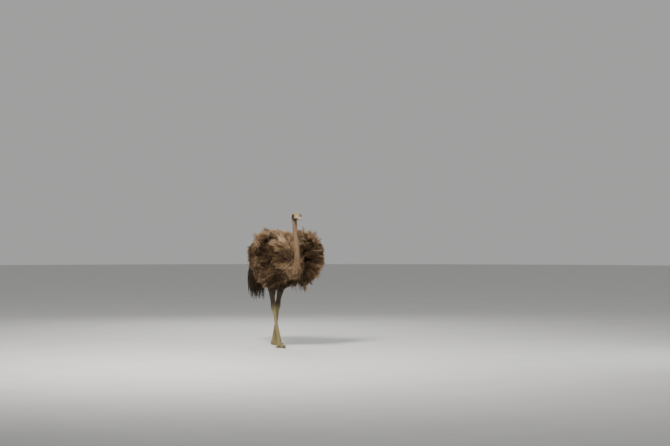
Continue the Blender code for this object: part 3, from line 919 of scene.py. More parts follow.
def traced(tips, length, sunk, depth, nodes=8):
    """Spines that end at the tips, traced back against the lie and down into the coat, root first."""
    steps = nodes - 1
    step = (length / steps)[:, None]
    normal = outer.slope(tips)
    place = tips - normal * sunk[:, None]
    run = flow_at(place, normal)
    spine, faces = [place], [normal]
    for k in range(1, nodes):
        normal = outer.slope(place)
        run = unit(0.45 * run + 0.55 * flow_at(place, normal))
        place = place - run * step
        wanted = -sunk - (depth - sunk) * (k / steps) ** 1.3
        rise = np.clip((wanted - outer.at(place))[:, None], -0.8 * step, 0.8 * step)
        place = place + outer.slope(place) * rise
        if k < nodes - 2:
            place = place + core.slope(place) * np.clip(0.010 - core.at(place), 0, 0.02)[:, None]
        spine.append(place)
        faces.append(normal)
    return np.stack(spine[::-1], 1), np.stack(faces[::-1], 1)


def clumped(places, spacing):
    """The number of each place's clump, and the clumps' seeds, no two nearer than the spacing."""
    chosen = []
    for k in rng.permutation(len(places)):
        if not chosen or np.min(((places[chosen] - places[k]) ** 2).sum(1)) > spacing**2:
            chosen.append(k)
    return np.argmin(((places[:, None] - places[chosen][None]) ** 2).sum(-1), 1), places[chosen]


def mixed_along(values, share):
    """Values at the nodes of spines, read at shares (n, m) of their length."""
    place = share * (values.shape[1] - 1)
    i = np.minimum(place.astype(int), values.shape[1] - 2)
    f = (place - i)[..., None]
    rows = np.arange(len(values))[:, None]
    return values[rows, i] * (1 - f) + values[rows, i + 1] * f


# ---- plumes

LOCK = 3  # barbs that cling together towards their tips
FRIZZ = 0.22  # how far a lock strays from its lie
# The vanes of down are painted dark as shade deep in the coat.
WEB_TURNS = (-2, -1, 0, 1, 2)  # the vanes of dark down under a plume's barbs, from side to side


def plumes(
    name, spine, faces, reach, tone, mark, barbs=18, web=0.010, fan=0.17, thick=0.0022, slot="plumage"
):  # fmt: skip
    """One piece of plumes: loose barbs down both sides of a thin shaft, over five broad vanes of down painted
    dark as shade.

    spine and faces are (n, nodes, 3): the shaft's route and the side that faces out. reach (n) is the
    length of the barbs, tone (n) the plume's lightness in 0..1 and mark (n, 2) its place on the bake map.
    web is a vane's width, fan the turn between two vanes and thick a barb's width.
    """
    n, nodes = spine.shape[:2]
    runs = unit(np.gradient(spine, axis=1))
    roll = rng.normal(0, 0.35, (n, 1, 1))
    faces = tangent(faces, runs)
    faces = faces * np.cos(roll) + np.cross(runs, faces) * np.sin(roll)
    parts = []
    for hand in (1, -1):
        share = np.sort(rng.uniform(0.06, 1.0, (n, barbs)) ** 0.85, 1)
        base, run = mixed_along(spine, share), unit(mixed_along(runs, share))
        face = tangent(mixed_along(faces, share), run)
        aside = np.cross(run, face)
        lock = np.repeat(rng.normal(0, 1, (n, barbs // LOCK, 5)), LOCK, 1)
        angle = np.radians(40 - 22 * share + 11 * lock[..., 3] + rng.normal(0, 5, share.shape))[..., None]
        profile = 0.55 + 0.45 * smooth(0.05, 0.35, share) - 0.22 * smooth(0.70, 1.0, share)
        long = reach[:, None] * profile * (1 + 0.13 * lock[..., 4]) * rng.uniform(0.75, 1.15, share.shape)
        long = np.maximum(long, 0.3 * reach[:, None])[..., None]
        lift = 0.05 + 0.16 * lock[..., :1] + rng.normal(0, 0.06, (n, barbs, 1))
        curl = FRIZZ * lock[..., :3] + rng.normal(0, 0.10, (n, barbs, 3))
        # A barb's three stretches: out from the shaft, bending down, and closing up with its lock.
        first = unit(run * np.cos(angle) + hand * aside * np.sin(angle) + face * lift)
        second = unit(first + 0.45 * run + 0.6 * curl - 0.08 * face + (0, 0, -0.18))
        middle = base + (first + second) * long / 3
        meet = middle.reshape(n, -1, LOCK, 3).mean(2).repeat(LOCK, 1)
        third = second + 0.35 * run + 1.3 * curl - 0.22 * face + (0, 0, -0.30)
        third = unit(third + 0.5 * (meet - middle) / (long / 3))
        width = thick * rng.uniform(0.6, 1.4, n * barbs)
        base, face, *ways = (values.reshape(-1, 3) for values in (base, face, first, second, third))
        points, triangles = blades(base, ways, long.ravel(), width, face, (0.7, 1.0, 0.8))
        light = tone[:, None] - 0.24 + 0.32 * share + 0.05 * lock[..., 0] + rng.normal(0, 0.03, share.shape)
        light = light.reshape(-1, 1) + 0.16 * BARB_NODES
        lengthways = np.clip(share.reshape(-1, 1) * 0.8 + 0.2 * BARB_NODES, 0, 1)
        marks = np.repeat(mark, barbs, 0)
        parts.append((points, light, patch(marks, light.shape, hand * (0.1 + 0.9 * BARB_NODES), lengthways)))
    joints = [spine[:, round(k * (nodes - 1) / 3)] for k in range(4)]
    steps = [b - a for a, b in zip(joints, joints[1:])]
    whole = sum(np.linalg.norm(step, axis=1) for step in steps)
    steps = [unit(step) for step in steps]
    facing = faces[:, nodes // 2]
    shaft = (0, 0.002, 0.0, 0.0, 0.8)
    # Each vane is darker than its plume by 0.24: painted shade deep in the coat.
    vanes = [(turn, web, -0.003 - 0.001 * (2 - abs(turn)), 0.24, 0.1) for turn in WEB_TURNS]
    for turn, width, raised, darker, depth in (shaft, *vanes):
        ways = [unit(s + fan * turn * np.cross(s, facing) + rng.normal(0, 0.04, (n, 1))) for s in steps]
        root, widths = spine[:, 0] + facing * raised, np.full(n, width)
        points, triangles = blades(root, ways, whole, widths, facing, (0.6, 1.0, 0.8), depth)
        light = tone[:, None] - darker + 0.08 * BARB_NODES
        parts.append((points, light, patch(mark, light.shape, 0, BARB_NODES)))
    points, light, place = joined(parts)
    return blade_piece(name, slot, points, triangles, light, place)


outer_points, _, outer_quads = outer.surface()
outer_map = outer_points, outer_quads, unwrapped(outer_points, outer_quads)

TRUNK_SPACING, WING_SPACING = 0.0412, 0.0350
WING_X = 0.235  # beyond this the plumage is the wings'
CLUMP = 0.085  # the distance between two clumps of plumes
BODY_PIECES = 7


def body_plumes():
    """The plumes of trunk, wings and thighs, clumped and in pieces from front to back."""
    on_trunk = sown(*outer_map, TRUNK_SPACING, lambda place: np.abs(place[:, 0]) <= WING_X)
    on_wings = sown(*outer_map, WING_SPACING, lambda place: np.abs(place[:, 0]) > WING_X)
    tips, _, mark = joined((on_trunk, on_wings))
    x, y, z = tips.T
    count = len(tips)
    clump, seeds = clumped(tips, CLUMP)
    from_seed = np.linalg.norm(tips - seeds[clump], axis=1) / CLUMP
    winged, low = smooth(0.22, 0.34, np.abs(x)), smooth(0.95, 0.72, z)
    thigh = low * smooth(0.76, 0.70, z)
    # How deep the tips lie: clumps and plumes stand proud of one another, and a few stray right out.
    proud = rng.normal(0, 0.008, len(seeds))[clump] + rng.normal(0, 0.005, count)
    sunk = np.clip(0.012 + 0.022 * from_seed**2 - proud, -0.012, 0.04)
    sunk = np.where(rng.random(count) < 0.07 + 0.10 * low, sunk - 0.020, sunk)
    sunk = np.minimum(sunk, core.at(tips) - 0.014)
    length = (0.125 + 0.035 * winged + 0.015 * low) * rng.uniform(0.85, 1.15, count) * (1 - 0.35 * thigh)
    spine, faces = traced(tips, length, sunk, 0.078 - 0.036 * winged)
    # The plumes of a clump close up towards one another at their tips.
    middle = np.zeros((len(seeds), 3))
    np.add.at(middle, clump, spine[:, -1])
    middle /= np.bincount(clump, minlength=len(seeds))[:, None]
    pull = np.linspace(0, 1, spine.shape[1]) ** 2
    spine = spine + ((middle[clump] - spine[:, -1]) * 0.36)[:, None] * pull[None, :, None]
    reach = 0.060 * rng.uniform(0.85, 1.2, count) * (1 + 0.12 * winged) * (1 - 0.35 * thigh)
    # Painted light above and on the breast, painted shade below and in a band across the front.
    front = smooth(0.10, -0.15, y)
    painted_shade_band = front * bell(z - 1.13, 0.080)
    breast = front * bell(z - 0.94, 0.075) * smooth(0.26, 0.14, np.abs(x))
    tone = 0.35 + 0.27 * smooth(0.80, 1.30, z) - 0.05 * winged - 0.20 * low - 0.25 * painted_shade_band + 0.15 * breast
    tone = np.minimum(tone + rng.normal(0, 0.07, len(seeds))[clump], 0.62) + rng.normal(0, 0.08, count)
    groups = enumerate(np.array_split(np.argsort(y), BODY_PIECES), 1)
    return [plumes(f"plumes_{k}", spine[g], faces[g], reach[g], tone[g], mark[g]) for k, g in groups]


def front_of(places):
    """The places moved along Y onto the front of the plumage, and whether there is any there."""
    y = np.linspace(cad_box[0][1], 0.30, 160)
    rays = np.stack(np.broadcast_arrays(places[:, :1], y[None], places[:, 2:]), -1)
    inside = outer.at(rays) < 0
    return np.stack((places[:, 0], y[np.argmax(inside, 1)], places[:, 2]), -1), inside.any(1)


def facing_run(spine, way):
    """The same side of every node of a spine, square to the spine's run and towards the way given."""
    run = unit(spine[:, -1] - spine[:, 0])
    return np.repeat(tangent(np.tile(way, (len(run), 1)), run)[:, None], spine.shape[1], 1)


def bridging_plumes(count=124, nodes=8):
    """Long plumes that fan out from the breast across the lower half of each wing's hollow to its rim."""
    side = np.where(np.arange(count) % 2, 1, -1)
    angle = np.radians(rng.uniform(-72, 20, count))
    ends = []
    for radius in (rng.uniform(0.15, 0.24, count), rng.uniform(0.30, 0.355, count)):
        x, z = side * (0.06 + radius * np.cos(angle)), TRUNK_AXIS_Z + radius * np.sin(angle)
        ends.append(front_of(np.stack((x, np.zeros(count), z), -1) + OFFSET * (1, 0, 1)))
    (start, good), (end, also) = ends
    start, end = start[good & also], end[good & also]
    start = start + outer.slope(start) * -0.020
    run = unit(end - start)
    end = end + run * rng.uniform(0.01, 0.05, (len(end), 1)) + rng.normal(0, 0.010, end.shape)
    t = np.linspace(0, 1, nodes)[None, :, None]
    spine = start[:, None] * (1 - t) + end[:, None] * t + np.array((0, -0.028, 0)) * np.sin(np.pi * t**0.8)
    tone = 0.34 + rng.normal(0, 0.11, len(run)) + 0.10 * smooth(0.8, 1.1, end[:, 2])
    mark = np.stack((rng.random(len(run)), 0.9 * rng.random(len(run))), -1)
    reach = 0.050 * rng.uniform(0.85, 1.2, len(run))
    faces = facing_run(spine, (0.0, -1.0, 0.0))
    return plumes("bridging_plumes", spine, faces, reach, tone, mark, barbs=24, web=0.005)


# Loose strands that stand up from the coat: middle, spread, count and the way they point
WISPS = (
    ((-0.215, -0.060, 1.370), 0.030, 10, (-0.20, -0.10, 1.00)),
    ((0.150, -0.240, 1.265), 0.028, 12, (0.90, -0.25, 0.40)),
    ((-0.380, -0.180, 1.290), 0.030, 3, (-0.20, -0.10, 1.00)),
    ((0.350, -0.220, 1.330), 0.040, 8, (0.45, -0.10, 0.90)),
    ((0.430, -0.200, 1.240), 0.030, 5, (0.60, 0.05, 0.80)),
    ((0.290, -0.160, 0.740), 0.060, 14, (0.20, -0.10, -1.00)),
)
WISP_REACH, WISP_MARGIN = 0.052, 0.02  # the margin keeps the strands inside the CAD box from side to side


def wisps(nodes=6):
    parts = []
    for middle, scatter, count, way in WISPS:
        root = np.array(middle) + rng.normal(0, scatter, (count, 3))
        for _ in range(3):
            root = root - outer.slope(root) * (outer.at(root) + 0.03)[:, None]
        way = unit(unit(np.array(way)) + rng.normal(0, 0.22, (count, 3)))
        long = rng.uniform(0.075, 0.115, (count, 1))
        droop = np.array((0.0, 0.35, -0.55)) * (0.05 if middle[2] > 1 else 0)
        t = np.linspace(0, 1, nodes)[None, :, None]
        spine = root[:, None] + (way * long)[:, None] * t + droop * t**2
        parts.append((spine, 0.55 + rng.normal(0, 0.07, count)))
    spine, tone = joined(parts)
    inside = np.abs(spine[..., 0]).max(1) < cad_box[1][0] - WISP_MARGIN
    spine, tone = spine[inside], tone[inside]
    faces, reach = facing_run(spine, (0.3, -1.0, 0.2)), np.full(len(spine), WISP_REACH)
    mark = rng.random((len(spine), 2)) * 0.95
    return plumes("wisps", spine, faces, reach, tone, mark, barbs=9, web=0.002, thick=0.0017)


SKIN_TUFT_SPACING, WING_TUFT_SPACING = 0.042, 0.044
COVER = 0.014  # a tuft's tip lies at least this deep in the coat


def deep_in_coat(place):
    return (outer.at(place) < -0.040) & (place[:, 2] > 0.78)


def under_down(length=0.080, width=0.032):
    """Broad tufts of down on the skin, and in the wings, so that no bare skin or light shows through: painted
    dark as shade deep in the coat, with painted light on top.
    """
    core_map = core_points, core_quads, unwrapped(core_points, core_quads)
    on_skin = sown(*core_map, SKIN_TUFT_SPACING, deep_in_coat)
    in_wing = sown(*outer_map, WING_TUFT_SPACING, lambda place: np.abs(place[:, 0]) > 0.23)
    steep = np.repeat((1.0, 0.15), (len(on_skin[0]), len(in_wing[0])))[:, None]
    root, normal, mark = joined((on_skin, in_wing))
    root = root - normal * (0.032 * (steep < 1))
    root, normal, mark, steep = (np.repeat(values, 3, 0) for values in (root, normal, mark, steep))
    root = root + rng.normal(0, 0.012, root.shape)
    lie = tangent(flow_at(root, normal) + rng.normal(0, 0.45, root.shape), normal)
    lift = rng.uniform(0.15, 0.50, (len(root), 1)) * steep
    ways = [unit(lie * np.cos(lift * k) + normal * np.sin(lift * k)) for k in (1.6, 0.9, 0.1)]
    size = rng.uniform(0.8, 1.2, len(root))
    covered = outer.at(root + sum(ways) * (length * size / 3)[:, None]) < -COVER
    root, normal, mark, size, *ways = (values[covered] for values in (root, normal, mark, size, *ways))
    taper, depth = (0.6, 1.0, 0.8), 0.12
    points, triangles = blades(root - normal * 0.004, ways, length * size, width * size, normal, taper, depth)
    # Painted light: lighter high on the back where the down faces up; elsewhere painted dark as shade.
    painted_sunlight = smooth(1.12, 1.26, root[:, 2]) * smooth(0.2, 0.6, normal[:, 2])
    light = (0.08 + 0.20 * painted_sunlight)[:, None] + rng.normal(0, 0.03, (len(root), 1)) + 0.10 * BARB_NODES
    place = patch(mark, light.shape, 0, BARB_NODES)
    return blade_piece("under_down", "plumage", points, triangles, light, place)


# Tail down the rump: (y, z, half width, half depth)
TAIL = (
    (0.460, 1.130, 0.060, 0.075),
    (0.570, 1.105, 0.090, 0.080),
    (0.622, 1.010, 0.108, 0.075),
    (0.635, 0.870, 0.112, 0.062),
    (0.622, 0.720, 0.105, 0.045),
    (0.600, 0.540, 0.085, 0.020),
)


def tail_plumes(count=92, nodes=9):
    """Long plumes that leave the rump and hang straight down."""
    angle, out = rng.uniform(0, 2 * np.pi, count), np.sqrt(rng.random(count))
    u, v = (out * np.cos(angle))[:, None], (out * np.sin(angle))[:, None]
    begin, end = rng.uniform(0.10, 0.40, count), rng.uniform(0.72, 1.0, count)
    across, none = np.array((1.0, 0, 0)), np.zeros((count, 1))
    spine, faces = [], []
    for k in range(nodes):
        share = begin + (end - begin) * k / (nodes - 1)
        here = along(TAIL, share)
        back = -np.cross(across, np.concatenate((none, way_along(TAIL, share, 2, 0.02)), 1))
        middle = np.concatenate((none, here[:, :2]), 1) + OFFSET
        fan = 0.55 + 0.45 * k / (nodes - 1)
        spine.append(middle + across * (u * fan * here[:, 2:3]) + back * (v * here[:, 3:4]))
        faces.append(back * np.where(v > -0.3, 1, -1) + across * (0.8 * u))
    spine, faces = np.stack(spine, 1), unit(np.stack(faces, 1))
    # Nearly black: partly the tail's own dusky colour, partly painted shade.
    tone = 0.02 + rng.normal(0, 0.05, count)
    mark = np.stack((0.05 + 0.9 * rng.permutation(count) / count, 0.1 + 0.8 * begin), -1)
    look = {"barbs": 24, "web": 0.008, "fan": 0.03, "slot": "tail_plumes"}
    return plumes("tail_feathers", spine, faces, rng.uniform(0.045, 0.065, count), tone, mark, **look)


plume_pieces = [*body_plumes(), bridging_plumes(), wisps(), under_down(), tail_plumes()]


# ---- down of the neck and head

HEAD_DOWN_SPACING, HEAD_DOWN_WIDTH = 0.0029, 0.0012
NECK_DOWN_SPACING, NECK_DOWN_WIDTH = 0.0035, 0.0015
NECK_BASE_SPACING, NECK_BASE_TOP = 0.0165, 1.02
HEAD_FROM, NECK_FROM = -0.075, -0.40  # down to this height the down is the head's; the neck is before this


def head_grid():
    """Points and quads of the neck and head, facing out, and their unwrap by side and ring."""
    points, _, (quads, _) = tube(head_surface)
    count, sides = head_surface.shape[:2]
    ring, side = np.divmod(quads, sides)
    side = np.where((side == 0) & (side.max(1, keepdims=True) == sides - 1), sides, side)
    return points, quads, 0.01 + 0.97 * np.stack((side / sides, ring / count), -1)


def neck_way(root):
    """For each place, the direction down the nearest part of the neck."""
    path = along(NECK, np.linspace(0, 1, 200))[:, :3] + OFFSET
    nearest = np.argmin(((root[:, None] - path[None]) ** 2).sum(-1), 1)
    return -unit(np.gradient(path, axis=0))[nearest]


def down_of(name, spacing, width, keep):
    """The short down of the head or of the neck, each tuft a curved blade lying along the skin."""
    root, normal, mark = sown(*head_grid(), spacing, keep)
    local = world_to_head(root)
    bare = np.zeros(len(root), bool)
    for side in (-1, 1):
        depth, _, _, e = from_eye(local, side)
        bare |= (e < 1.32) & (depth > 0) & (local[:, 0] * side > 0)
    face = smooth(0.040, 0.056, local[:, 1]) * (local[:, 2] < 0.012) * (local[:, 2] > -0.06)
    kept = ~bare & (rng.random(len(root)) > np.maximum(face * 0.8, gape_at(local)))
    root, normal, mark, local = (values[kept] for values in (root, normal, mark, local))
    count, (_, y, z) = len(root), local.T
    on_head = smooth(-0.10, -0.05, z)
    backward = -HEAD_ROTATION[:, 1] + (0, 0, -0.25)
    lie = neck_way(root) * (1 - on_head)[:, None] + backward * on_head[:, None]
    lie = tangent(lie + rng.normal(0, 0.20, root.shape), normal)
    crown = smooth(0.012, 0.030, z) * smooth(0.052, 0.030, y)
    cheek = bell(np.hypot(y + 0.036, z + 0.016), 0.024)
    low = smooth(1.15, 0.95, root[:, 2])
    eye_ring = near_eyes(local, 0.033, 0.025)
    length = 0.0105 + 0.003 * (1 - on_head) + 0.003 * crown + 0.007 * cheek + 0.014 * low
    length -= 0.005 * on_head * smooth(0.02, 0.05, y)
    length *= (1 - 0.45 * eye_ring) * rng.uniform(0.7, 1.3, count)
    lift = 13 + 4 * (1 - on_head) + 14 * crown + 14 * cheek + rng.normal(0, 7, count)
    lift = np.radians(lift).clip(0.05)[:, None]
    # The down of the throat is darkened as painted shadow under the bill.
    tone = 0.54 + 0.14 * crown + 0.20 * cheek - 0.52 * throat_shadow_at(local) + 0.05 * low - 0.16 * eye_ring
    tone += rng.normal(0, 0.06, count)
    ways = [unit(lie * np.cos(lift) + normal * np.sin(lift)), unit(lie + normal * 0.05)]
    points, triangles = blades(root - normal * 0.0006, ways, length, width * (1 + 0.5 * low), normal)
    light = tone[:, None] + 0.22 * (TUFT_NODES - 0.4)
    place = patch(mark, light.shape, (-1, 1, 0, -0.5, 0.5, 0, 0), TUFT_NODES)
    return blade_piece(name, name, points, triangles, light, place)


def on_the_head(place):
    return world_to_head(place)[:, 2] > HEAD_FROM


def on_the_neck(place):
    return ~on_the_head(place) & (place[:, 1] < NECK_FROM + OFFSET[1])


def on_the_neck_base(place):
    return (place[:, 2] < NECK_BASE_TOP) & (place[:, 1] < -0.36 + OFFSET[1])


head_down = down_of("head_down", HEAD_DOWN_SPACING, HEAD_DOWN_WIDTH, on_the_head)
neck_down = down_of("neck_down", NECK_DOWN_SPACING, NECK_DOWN_WIDTH, on_the_neck)


def neck_base_plumes(nodes=6):
    """Short plumes where the bare neck goes into the breast."""
    root, normal, mark = sown(*head_grid(), NECK_BASE_SPACING, on_the_neck_base)
    down = tangent(neck_way(root), normal)
    low = smooth(NECK_BASE_TOP, 0.90, root[:, 2])
    length = ((0.022 + 0.055 * low) * rng.uniform(0.8, 1.2, len(root)))[:, None, None]
    rise = (0.003 + 0.012 * low)[:, None, None]
    t = np.linspace(0, 1, nodes)[None, :, None]
    spine = root[:, None] + down[:, None] * length * t + normal[:, None] * rise * np.sin(t * 2.4)
    tone = 0.67 - 0.07 * low + rng.normal(0, 0.08, len(root))
    faces, reach = np.repeat(normal[:, None], nodes, 1), 0.012 + 0.024 * low
    return plumes("neck_base_plumes", spine, faces, reach, tone, mark, barbs=6, web=0.006, thick=0.0018)


def lashes(each=30):
    """The lashes of both upper lids."""
    parts = []
    for side in (-1, 1):
        _, look, ahead, up = eye_frame(side)
        angle = np.radians(np.linspace(18, 165, each)) + rng.normal(0, 0.02, each)
        root = round_eye(side, angle, 1.04, 0.0, EYE_RADIUS + 0.001)
        lie = look + up * (0.35 + 0.3 * np.sin(angle))[:, None] + ahead * (0.7 * np.cos(angle))[:, None]
        parts.append((root, unit(lie), np.tile(up, (each, 1))))
    root, lie, face = joined(parts)
    root, lie, face = head_to_world(root), lie @ HEAD_ROTATION.T, face @ HEAD_ROTATION.T
    count, ways = len(root), [lie, unit(lie + (0, 0, -0.35))]
    points, triangles = blades(root, ways, rng.uniform(0.008, 0.013, count), np.full(count, 0.0011), face)
    mark = np.stack((np.arange(count) / count, np.full(count, 0.5)), -1)
    light = np.full(points.shape[:2], 0.02)
    place = patch(mark, light.shape, 0, TUFT_NODES)
    return blade_piece("lashes", "head_down", points, triangles, light, place)


plume_pieces += [neck_base_plumes(), lashes(), neck_down]


# ---- materials


class Look:
    """A material, made by adding nodes before its shader."""

    def __init__(self, name):
        self.material = bpy.data.materials.new(name)
        self.material.use_nodes = True
        self.tree = self.material.node_tree
        self.shader = self.tree.nodes["Principled BSDF"]

    def feed(self, node, inputs):
        """Links a node's inputs, by name or number, to other nodes' outputs, or sets them."""
        for key, value in inputs.items():
            if isinstance(value, bpy.types.NodeSocket):
                self.tree.links.new(value, node.inputs[key])
            else:
                node.inputs[key].default_value = value

    def node(self, kind, inputs, **settings):
        """The outputs of a new node."""
        made = self.tree.nodes.new(f"ShaderNode{kind}")
        for key, value in settings.items():
            setattr(made, key, value)
        self.feed(made, inputs)
        return made.outputs

    def value(self, name):
        """A mesh's point values."""
        return self.node("Attribute", {}, attribute_name=name)["Fac"]

    def places(self):
        return self.node("TexCoord", {})["Object"]

    def noise(self, scale, stretch=(1, 1, 1)):
        where = self.node("Mapping", {"Vector": self.places(), "Scale": stretch})["Vector"]
        inputs = {"Vector": where, "Scale": scale, "Detail": 4.0, "Roughness": 0.55}
        return self.node("TexNoise", inputs)["Fac"]

    def cells(self, scale, feature="F1"):
        inputs = {"Vector": self.places(), "Scale": scale}
        return self.node("TexVoronoi", inputs, feature=feature)["Distance"]

    def maths(self, operation, a, b, clamp=False):
        return self.node("Math", {0: a, 1: b}, operation=operation, use_clamp=clamp)["Value"]

    def add(self, a, b):
        return self.maths("ADD", a, b)

    def times(self, a, b):
        return self.maths("MULTIPLY", a, b)

    def ramp(self, factor, *stops):
        """Colours, or greys of one number, at positions along the factor."""
        made = self.tree.nodes.new("ShaderNodeValToRGB")
        elements = made.color_ramp.elements
        while len(elements) < len(stops):
            elements.new(0.5)
        for element, (position, colour) in zip(elements, stops):
            element.position = position
            element.color = (*colour, 1.0) if len(colour) == 3 else (*colour * 3, 1.0)
        self.feed(made, {"Fac": factor})
        return made.outputs["Color"]

    def over(self, factor, under, colour):
        """A colour over another one, by the factor."""
        if isinstance(colour, tuple):
            colour = (*colour, 1.0)
        return self.node("Mix", {0: factor, 6: under, 7: colour}, data_type="RGBA")[2]

    def bump(self, height, strength, distance):
        inputs = {"Height": height, "Strength": strength, "Distance": distance}
        self.feed(self.shader, {"Normal": self.node("Bump", inputs)["Normal"]})

    def shade(self, colour, roughness, **others):
        """Sets the shader's colour, roughness and other inputs, named with _ for spaces."""
        named = {name.replace("_", " "): value for name, value in others.items()}
        self.feed(self.shader, {"Base Color": colour, "Roughness": roughness, **named})


def coat_look(name, blotch_scale, blotch_share, darker, stops, roughness, fibred=False, **others):
    """Plumes or down: coloured by each point's shade, in blotches, with fibres along a blade."""
    look = Look(name)
    tone = look.add(look.value("shade"), look.times(look.noise(blotch_scale), blotch_share))
    if fibred:
        fibre = look.maths("SINE", look.times(look.value("across"), 19.0), 0.0)
        tone = look.add(tone, look.times(fibre, 0.035))
        look.bump(fibre, 0.5, 0.0008)
    colour = look.ramp(look.maths("SUBTRACT", tone, darker, clamp=True), *stops)
    look.shade(colour, roughness, **others)
    return look.material


PLUME_COLOURS = (
    (0.00, (0.008, 0.004, 0.002)),
    (0.22, (0.034, 0.018, 0.008)),
    (0.45, (0.135, 0.079, 0.038)),
    (0.68, (0.350, 0.230, 0.130)),
    (1.00, (0.680, 0.530, 0.350)),
)
HEAD_DOWN_COLOURS = (
    (0.00, (0.010, 0.006, 0.003)),
    (0.25, (0.055, 0.036, 0.018)),
    (0.50, (0.190, 0.142, 0.068)),
    (0.75, (0.420, 0.335, 0.180)),
    (1.00, (0.620, 0.530, 0.310)),
)
PLUME_SHEEN = {
    "Specular_IOR_Level": 0.10,
    "Sheen_Weight": 0.14,
    "Sheen_Roughness": 0.5,
    "Sheen_Tint": (0.95, 0.72, 0.50, 1),
}
plume_look = coat_look("plume_barbs", 9.0, 0.24, 0.12, PLUME_COLOURS, 0.82, fibred=True, **PLUME_SHEEN)
down_look = coat_look("down_of_head", 60.0, 0.20, 0.10, HEAD_DOWN_COLOURS, 0.80, Sheen_Weight=0.15)


def mark_skin(mesh):
    """Gives the skin's points their zones: plumed body, head, crown, lids, shank, grooves of the scutes."""
    co, normals = read_values(mesh.vertices, "co"), read_values(mesh.vertex_normals, "vector")
    co, normals = co.astype(float), normals.astype(float)
    local, (x, y, z) = world_to_head(co), co.T
    head = smooth(1.40, 1.50, z)
    neck = smooth(-0.43, -0.47, y) * smooth(0.84, 0.88, z)
    groove = np.zeros(len(co))
    for _, side, stations in LEGS:
        here = (x * side > 0) & (z < 0.6)
        groove[here] = scutes(co[here], normals[here], side, stations)[1]
    zones = {
        "head": head,
        # The skin under the plumes is painted dark as shade in the coat.
        "body": (1 - np.maximum(neck, head)) * smooth(0.66, 0.72, z),
        "crown": head * smooth(0.014, 0.030, local[:, 2]) * smooth(0.055, 0.035, local[:, 1]),
        # Painted shadow under the bill.
        "throat": throat_shadow_at(local),
        "eye_ring": near_eyes(local, 0.028, 0.0235),
        # Painted shade in the crease of the mouth.
        "gape": gape_at(local),
        # Shank: dark partly by its own colour and partly as painted shade under the belly.
        "shank": smooth(0.40, 0.53, z),
        "upper": smooth(0.80, 0.84, z),
        "groove": groove,
    }
    write_values(mesh, **{name: np.clip(values, 0, 1) for name, values in zones.items()})


def skin_look():
    """Dun neck and head, scaly olive tarsi and toes, dark shanks (own colour and painted shade under the
    belly), and skin painted dark as shade under the plumes, on the throat and in the gape.
    """
    look = Look("bare_skin")
    fine, coarse = look.noise(160.0), look.noise(14.0)
    neck = look.ramp(coarse, (0.30, (0.200, 0.128, 0.084)), (0.70, (0.290, 0.195, 0.130)))
    head = look.ramp(fine, (0.30, (0.220, 0.155, 0.100)), (0.70, (0.350, 0.265, 0.170)))
    crown = look.ramp(fine, (0.30, (0.265, 0.212, 0.110)), (0.70, (0.405, 0.332, 0.185)))
    tarsus = look.ramp(fine, (0.25, (0.185, 0.148, 0.064)), (0.75, (0.325, 0.270, 0.122)))
    # Shank: own darker colour together with painted shade under the belly.
    shank = look.ramp(coarse, (0.30, (0.029, 0.020, 0.009)), (0.70, (0.064, 0.046, 0.023)))
    seam = look.ramp(look.cells(150.0, "DISTANCE_TO_EDGE"), (0.02, (1,)), (0.14, (0,)))
    colour = look.over(look.value("shank"), tarsus, shank)
    colour = look.over(look.times(seam, 0.45), colour, (0.055, 0.045, 0.030))
    colour = look.over(look.times(look.value("groove"), 0.85), colour, (0.050, 0.041, 0.028))
    zones = {
        "upper": neck,
        "head": head,
        "crown": crown,
        # Painted shadow under the bill.
        "throat": (0.060, 0.032, 0.021),
        # Painted shade in the coat.
        "body": (0.030, 0.020, 0.012),
        "eye_ring": (0.060, 0.042, 0.034),
        # Painted shade in the crease of the mouth.
        "gape": (0.030, 0.018, 0.014),
    }
    for zone, paint in zones.items():
        colour = look.over(look.value(zone), colour, paint)
    look.shade(colour, 0.62, Specular_IOR_Level=0.22)
    on_leg = look.maths("SUBTRACT", 1.0, look.value("upper"))
    scales = look.times(look.times(seam, on_leg), -0.9)
    look.bump(look.add(look.add(look.cells(420.0), fine), scales), 0.6, 0.0012)
    return look.material


def eye_look():
    """A black pupil, brown iris and dark rim, by the angle from the pupil, under a wet coat."""
    look = Look("eye_gloss")
    share = look.maths("DIVIDE", look.value("from_pupil"), 3.1416)
    colour = look.ramp(
        look.add(share, look.times(look.noise(420.0), 0.12)),
        (0.00, (0.002, 0.002, 0.002)),
        (0.145, (0.003, 0.002, 0.002)),
        (0.175, (0.026, 0.012, 0.006)),
        (0.255, (0.046, 0.022, 0.010)),
        (0.300, (0.012, 0.007, 0.006)),
        (0.360, (0.040, 0.030, 0.026)),
    )
    wet = {"Coat_Weight": 0.35, "Coat_IOR": 1.34, "Coat_Roughness": 0.02}
    look.shade(colour, 0.10, Specular_IOR_Level=0.20, **wet)
    return look.material


def horn_look(name, grain_scale, low, high, roughness, pit_scale, dark=None):
    """Horn with a grain along it and fine pits; dark is the colour of the painted shade in nostrils and
    mouth.
    """
    look = Look(name)
    colour = look.ramp(look.noise(grain_scale, (1, 0.3, 1)), (0.25, low), (0.75, high))
    if dark:
        colour = look.over(look.value("dark"), colour, dark)
    look.shade(colour, roughness)
    look.bump(look.noise(pit_scale), 0.25, 0.0006)
    return look.material


def floor_look():
    look = Look("pale_floor")
    look.shade(look.ramp(look.noise(1.5), (0.3, (0.62, 0.62, 0.61)), (0.7, (0.66, 0.66, 0.65))), 0.9)
    return look.material


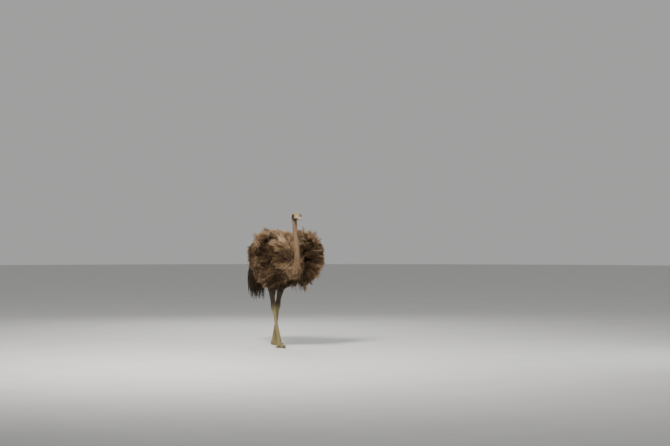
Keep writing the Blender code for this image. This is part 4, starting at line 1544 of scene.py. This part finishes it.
bpy.ops.mesh.primitive_circle_add(vertices=96, radius=40, fill_type="NGON", location=(0, 0, -0.0005))
floor = bpy.context.object
floor.name = "floor"
mark_skin(skin.data)
skin.data.materials.clear()
# The bill's dark colour below, (0.035, 0.022, 0.016), is painted shade in its nostrils and mouth.
bill_colours = (0.200, 0.145, 0.100), (0.370, 0.290, 0.205)
claw_colours = (0.030, 0.024, 0.020), (0.095, 0.078, 0.062)
for made, pieces in (
    (plume_look, plume_pieces),
    (down_look, [head_down]),
    (skin_look(), [skin]),
    (eye_look(), eyes),
    (horn_look("horn_of_bill", 60.0, *bill_colours, 0.46, 500.0, (0.035, 0.022, 0.016)), bills),
    (horn_look("horn_of_claw", 90.0, *claw_colours, 0.38, 400.0), claws),
    (floor_look(), [floor]),
):
    for piece in pieces:
        piece.data.materials.append(made)


# ---- stage, light and camera

world = bpy.data.worlds.new("studio")
bpy.context.scene.world = world
world.use_nodes = True
background = world.node_tree.nodes["Background"]
background.inputs["Color"].default_value = (0.90, 0.90, 0.89, 1.0)
background.inputs["Strength"].default_value = 0.45


def in_scene(name, data, place):
    made = bpy.data.objects.new(name, data)
    bpy.context.scene.collection.objects.link(made)
    made.location = place
    return made


def area_light(name, place, target_height, size, power, colour):
    """A round lamp that looks at a place over the middle of the floor."""
    data = bpy.data.lights.new(name, "AREA")
    data.shape = "DISK"
    data.size, data.energy, data.color = size, power, colour
    direction = Vector((0, 0, target_height)) - Vector(place)
    in_scene(name, data, place).rotation_euler = direction.to_track_quat("-Z", "Y").to_euler()


area_light("key", (-3.2, -3.0, 5.2), 1.0, 1.8, 620, (1.0, 0.96, 0.90))
area_light("fill", (3.5, -4.0, 2.4), 1.0, 3.0, 60, (0.92, 0.96, 1.0))
area_light("rim", (1.5, 4.5, 4.0), 1.1, 2.5, 120, (1, 1, 1))

CAMERA_AZIMUTH = math.radians(-25.0)
CAMERA_YAW = math.radians(1.96)  # the bird stands left of the frame's middle
CAMERA_DISTANCE, CAMERA_HEIGHT = 20.0, 1.476
camera_data = bpy.data.cameras.new("camera")
camera_data.sensor_width, camera_data.lens, camera_data.clip_end = 36.0, 89.6, 200.0
sideways, forward = math.sin(CAMERA_AZIMUTH), math.cos(CAMERA_AZIMUTH)
camera_place = (sideways * CAMERA_DISTANCE, -forward * CAMERA_DISTANCE, CAMERA_HEIGHT)
camera = in_scene("camera", camera_data, camera_place)
camera.rotation_euler = (math.pi / 2, 0, CAMERA_AZIMUTH - CAMERA_YAW)
bpy.context.scene.camera = camera
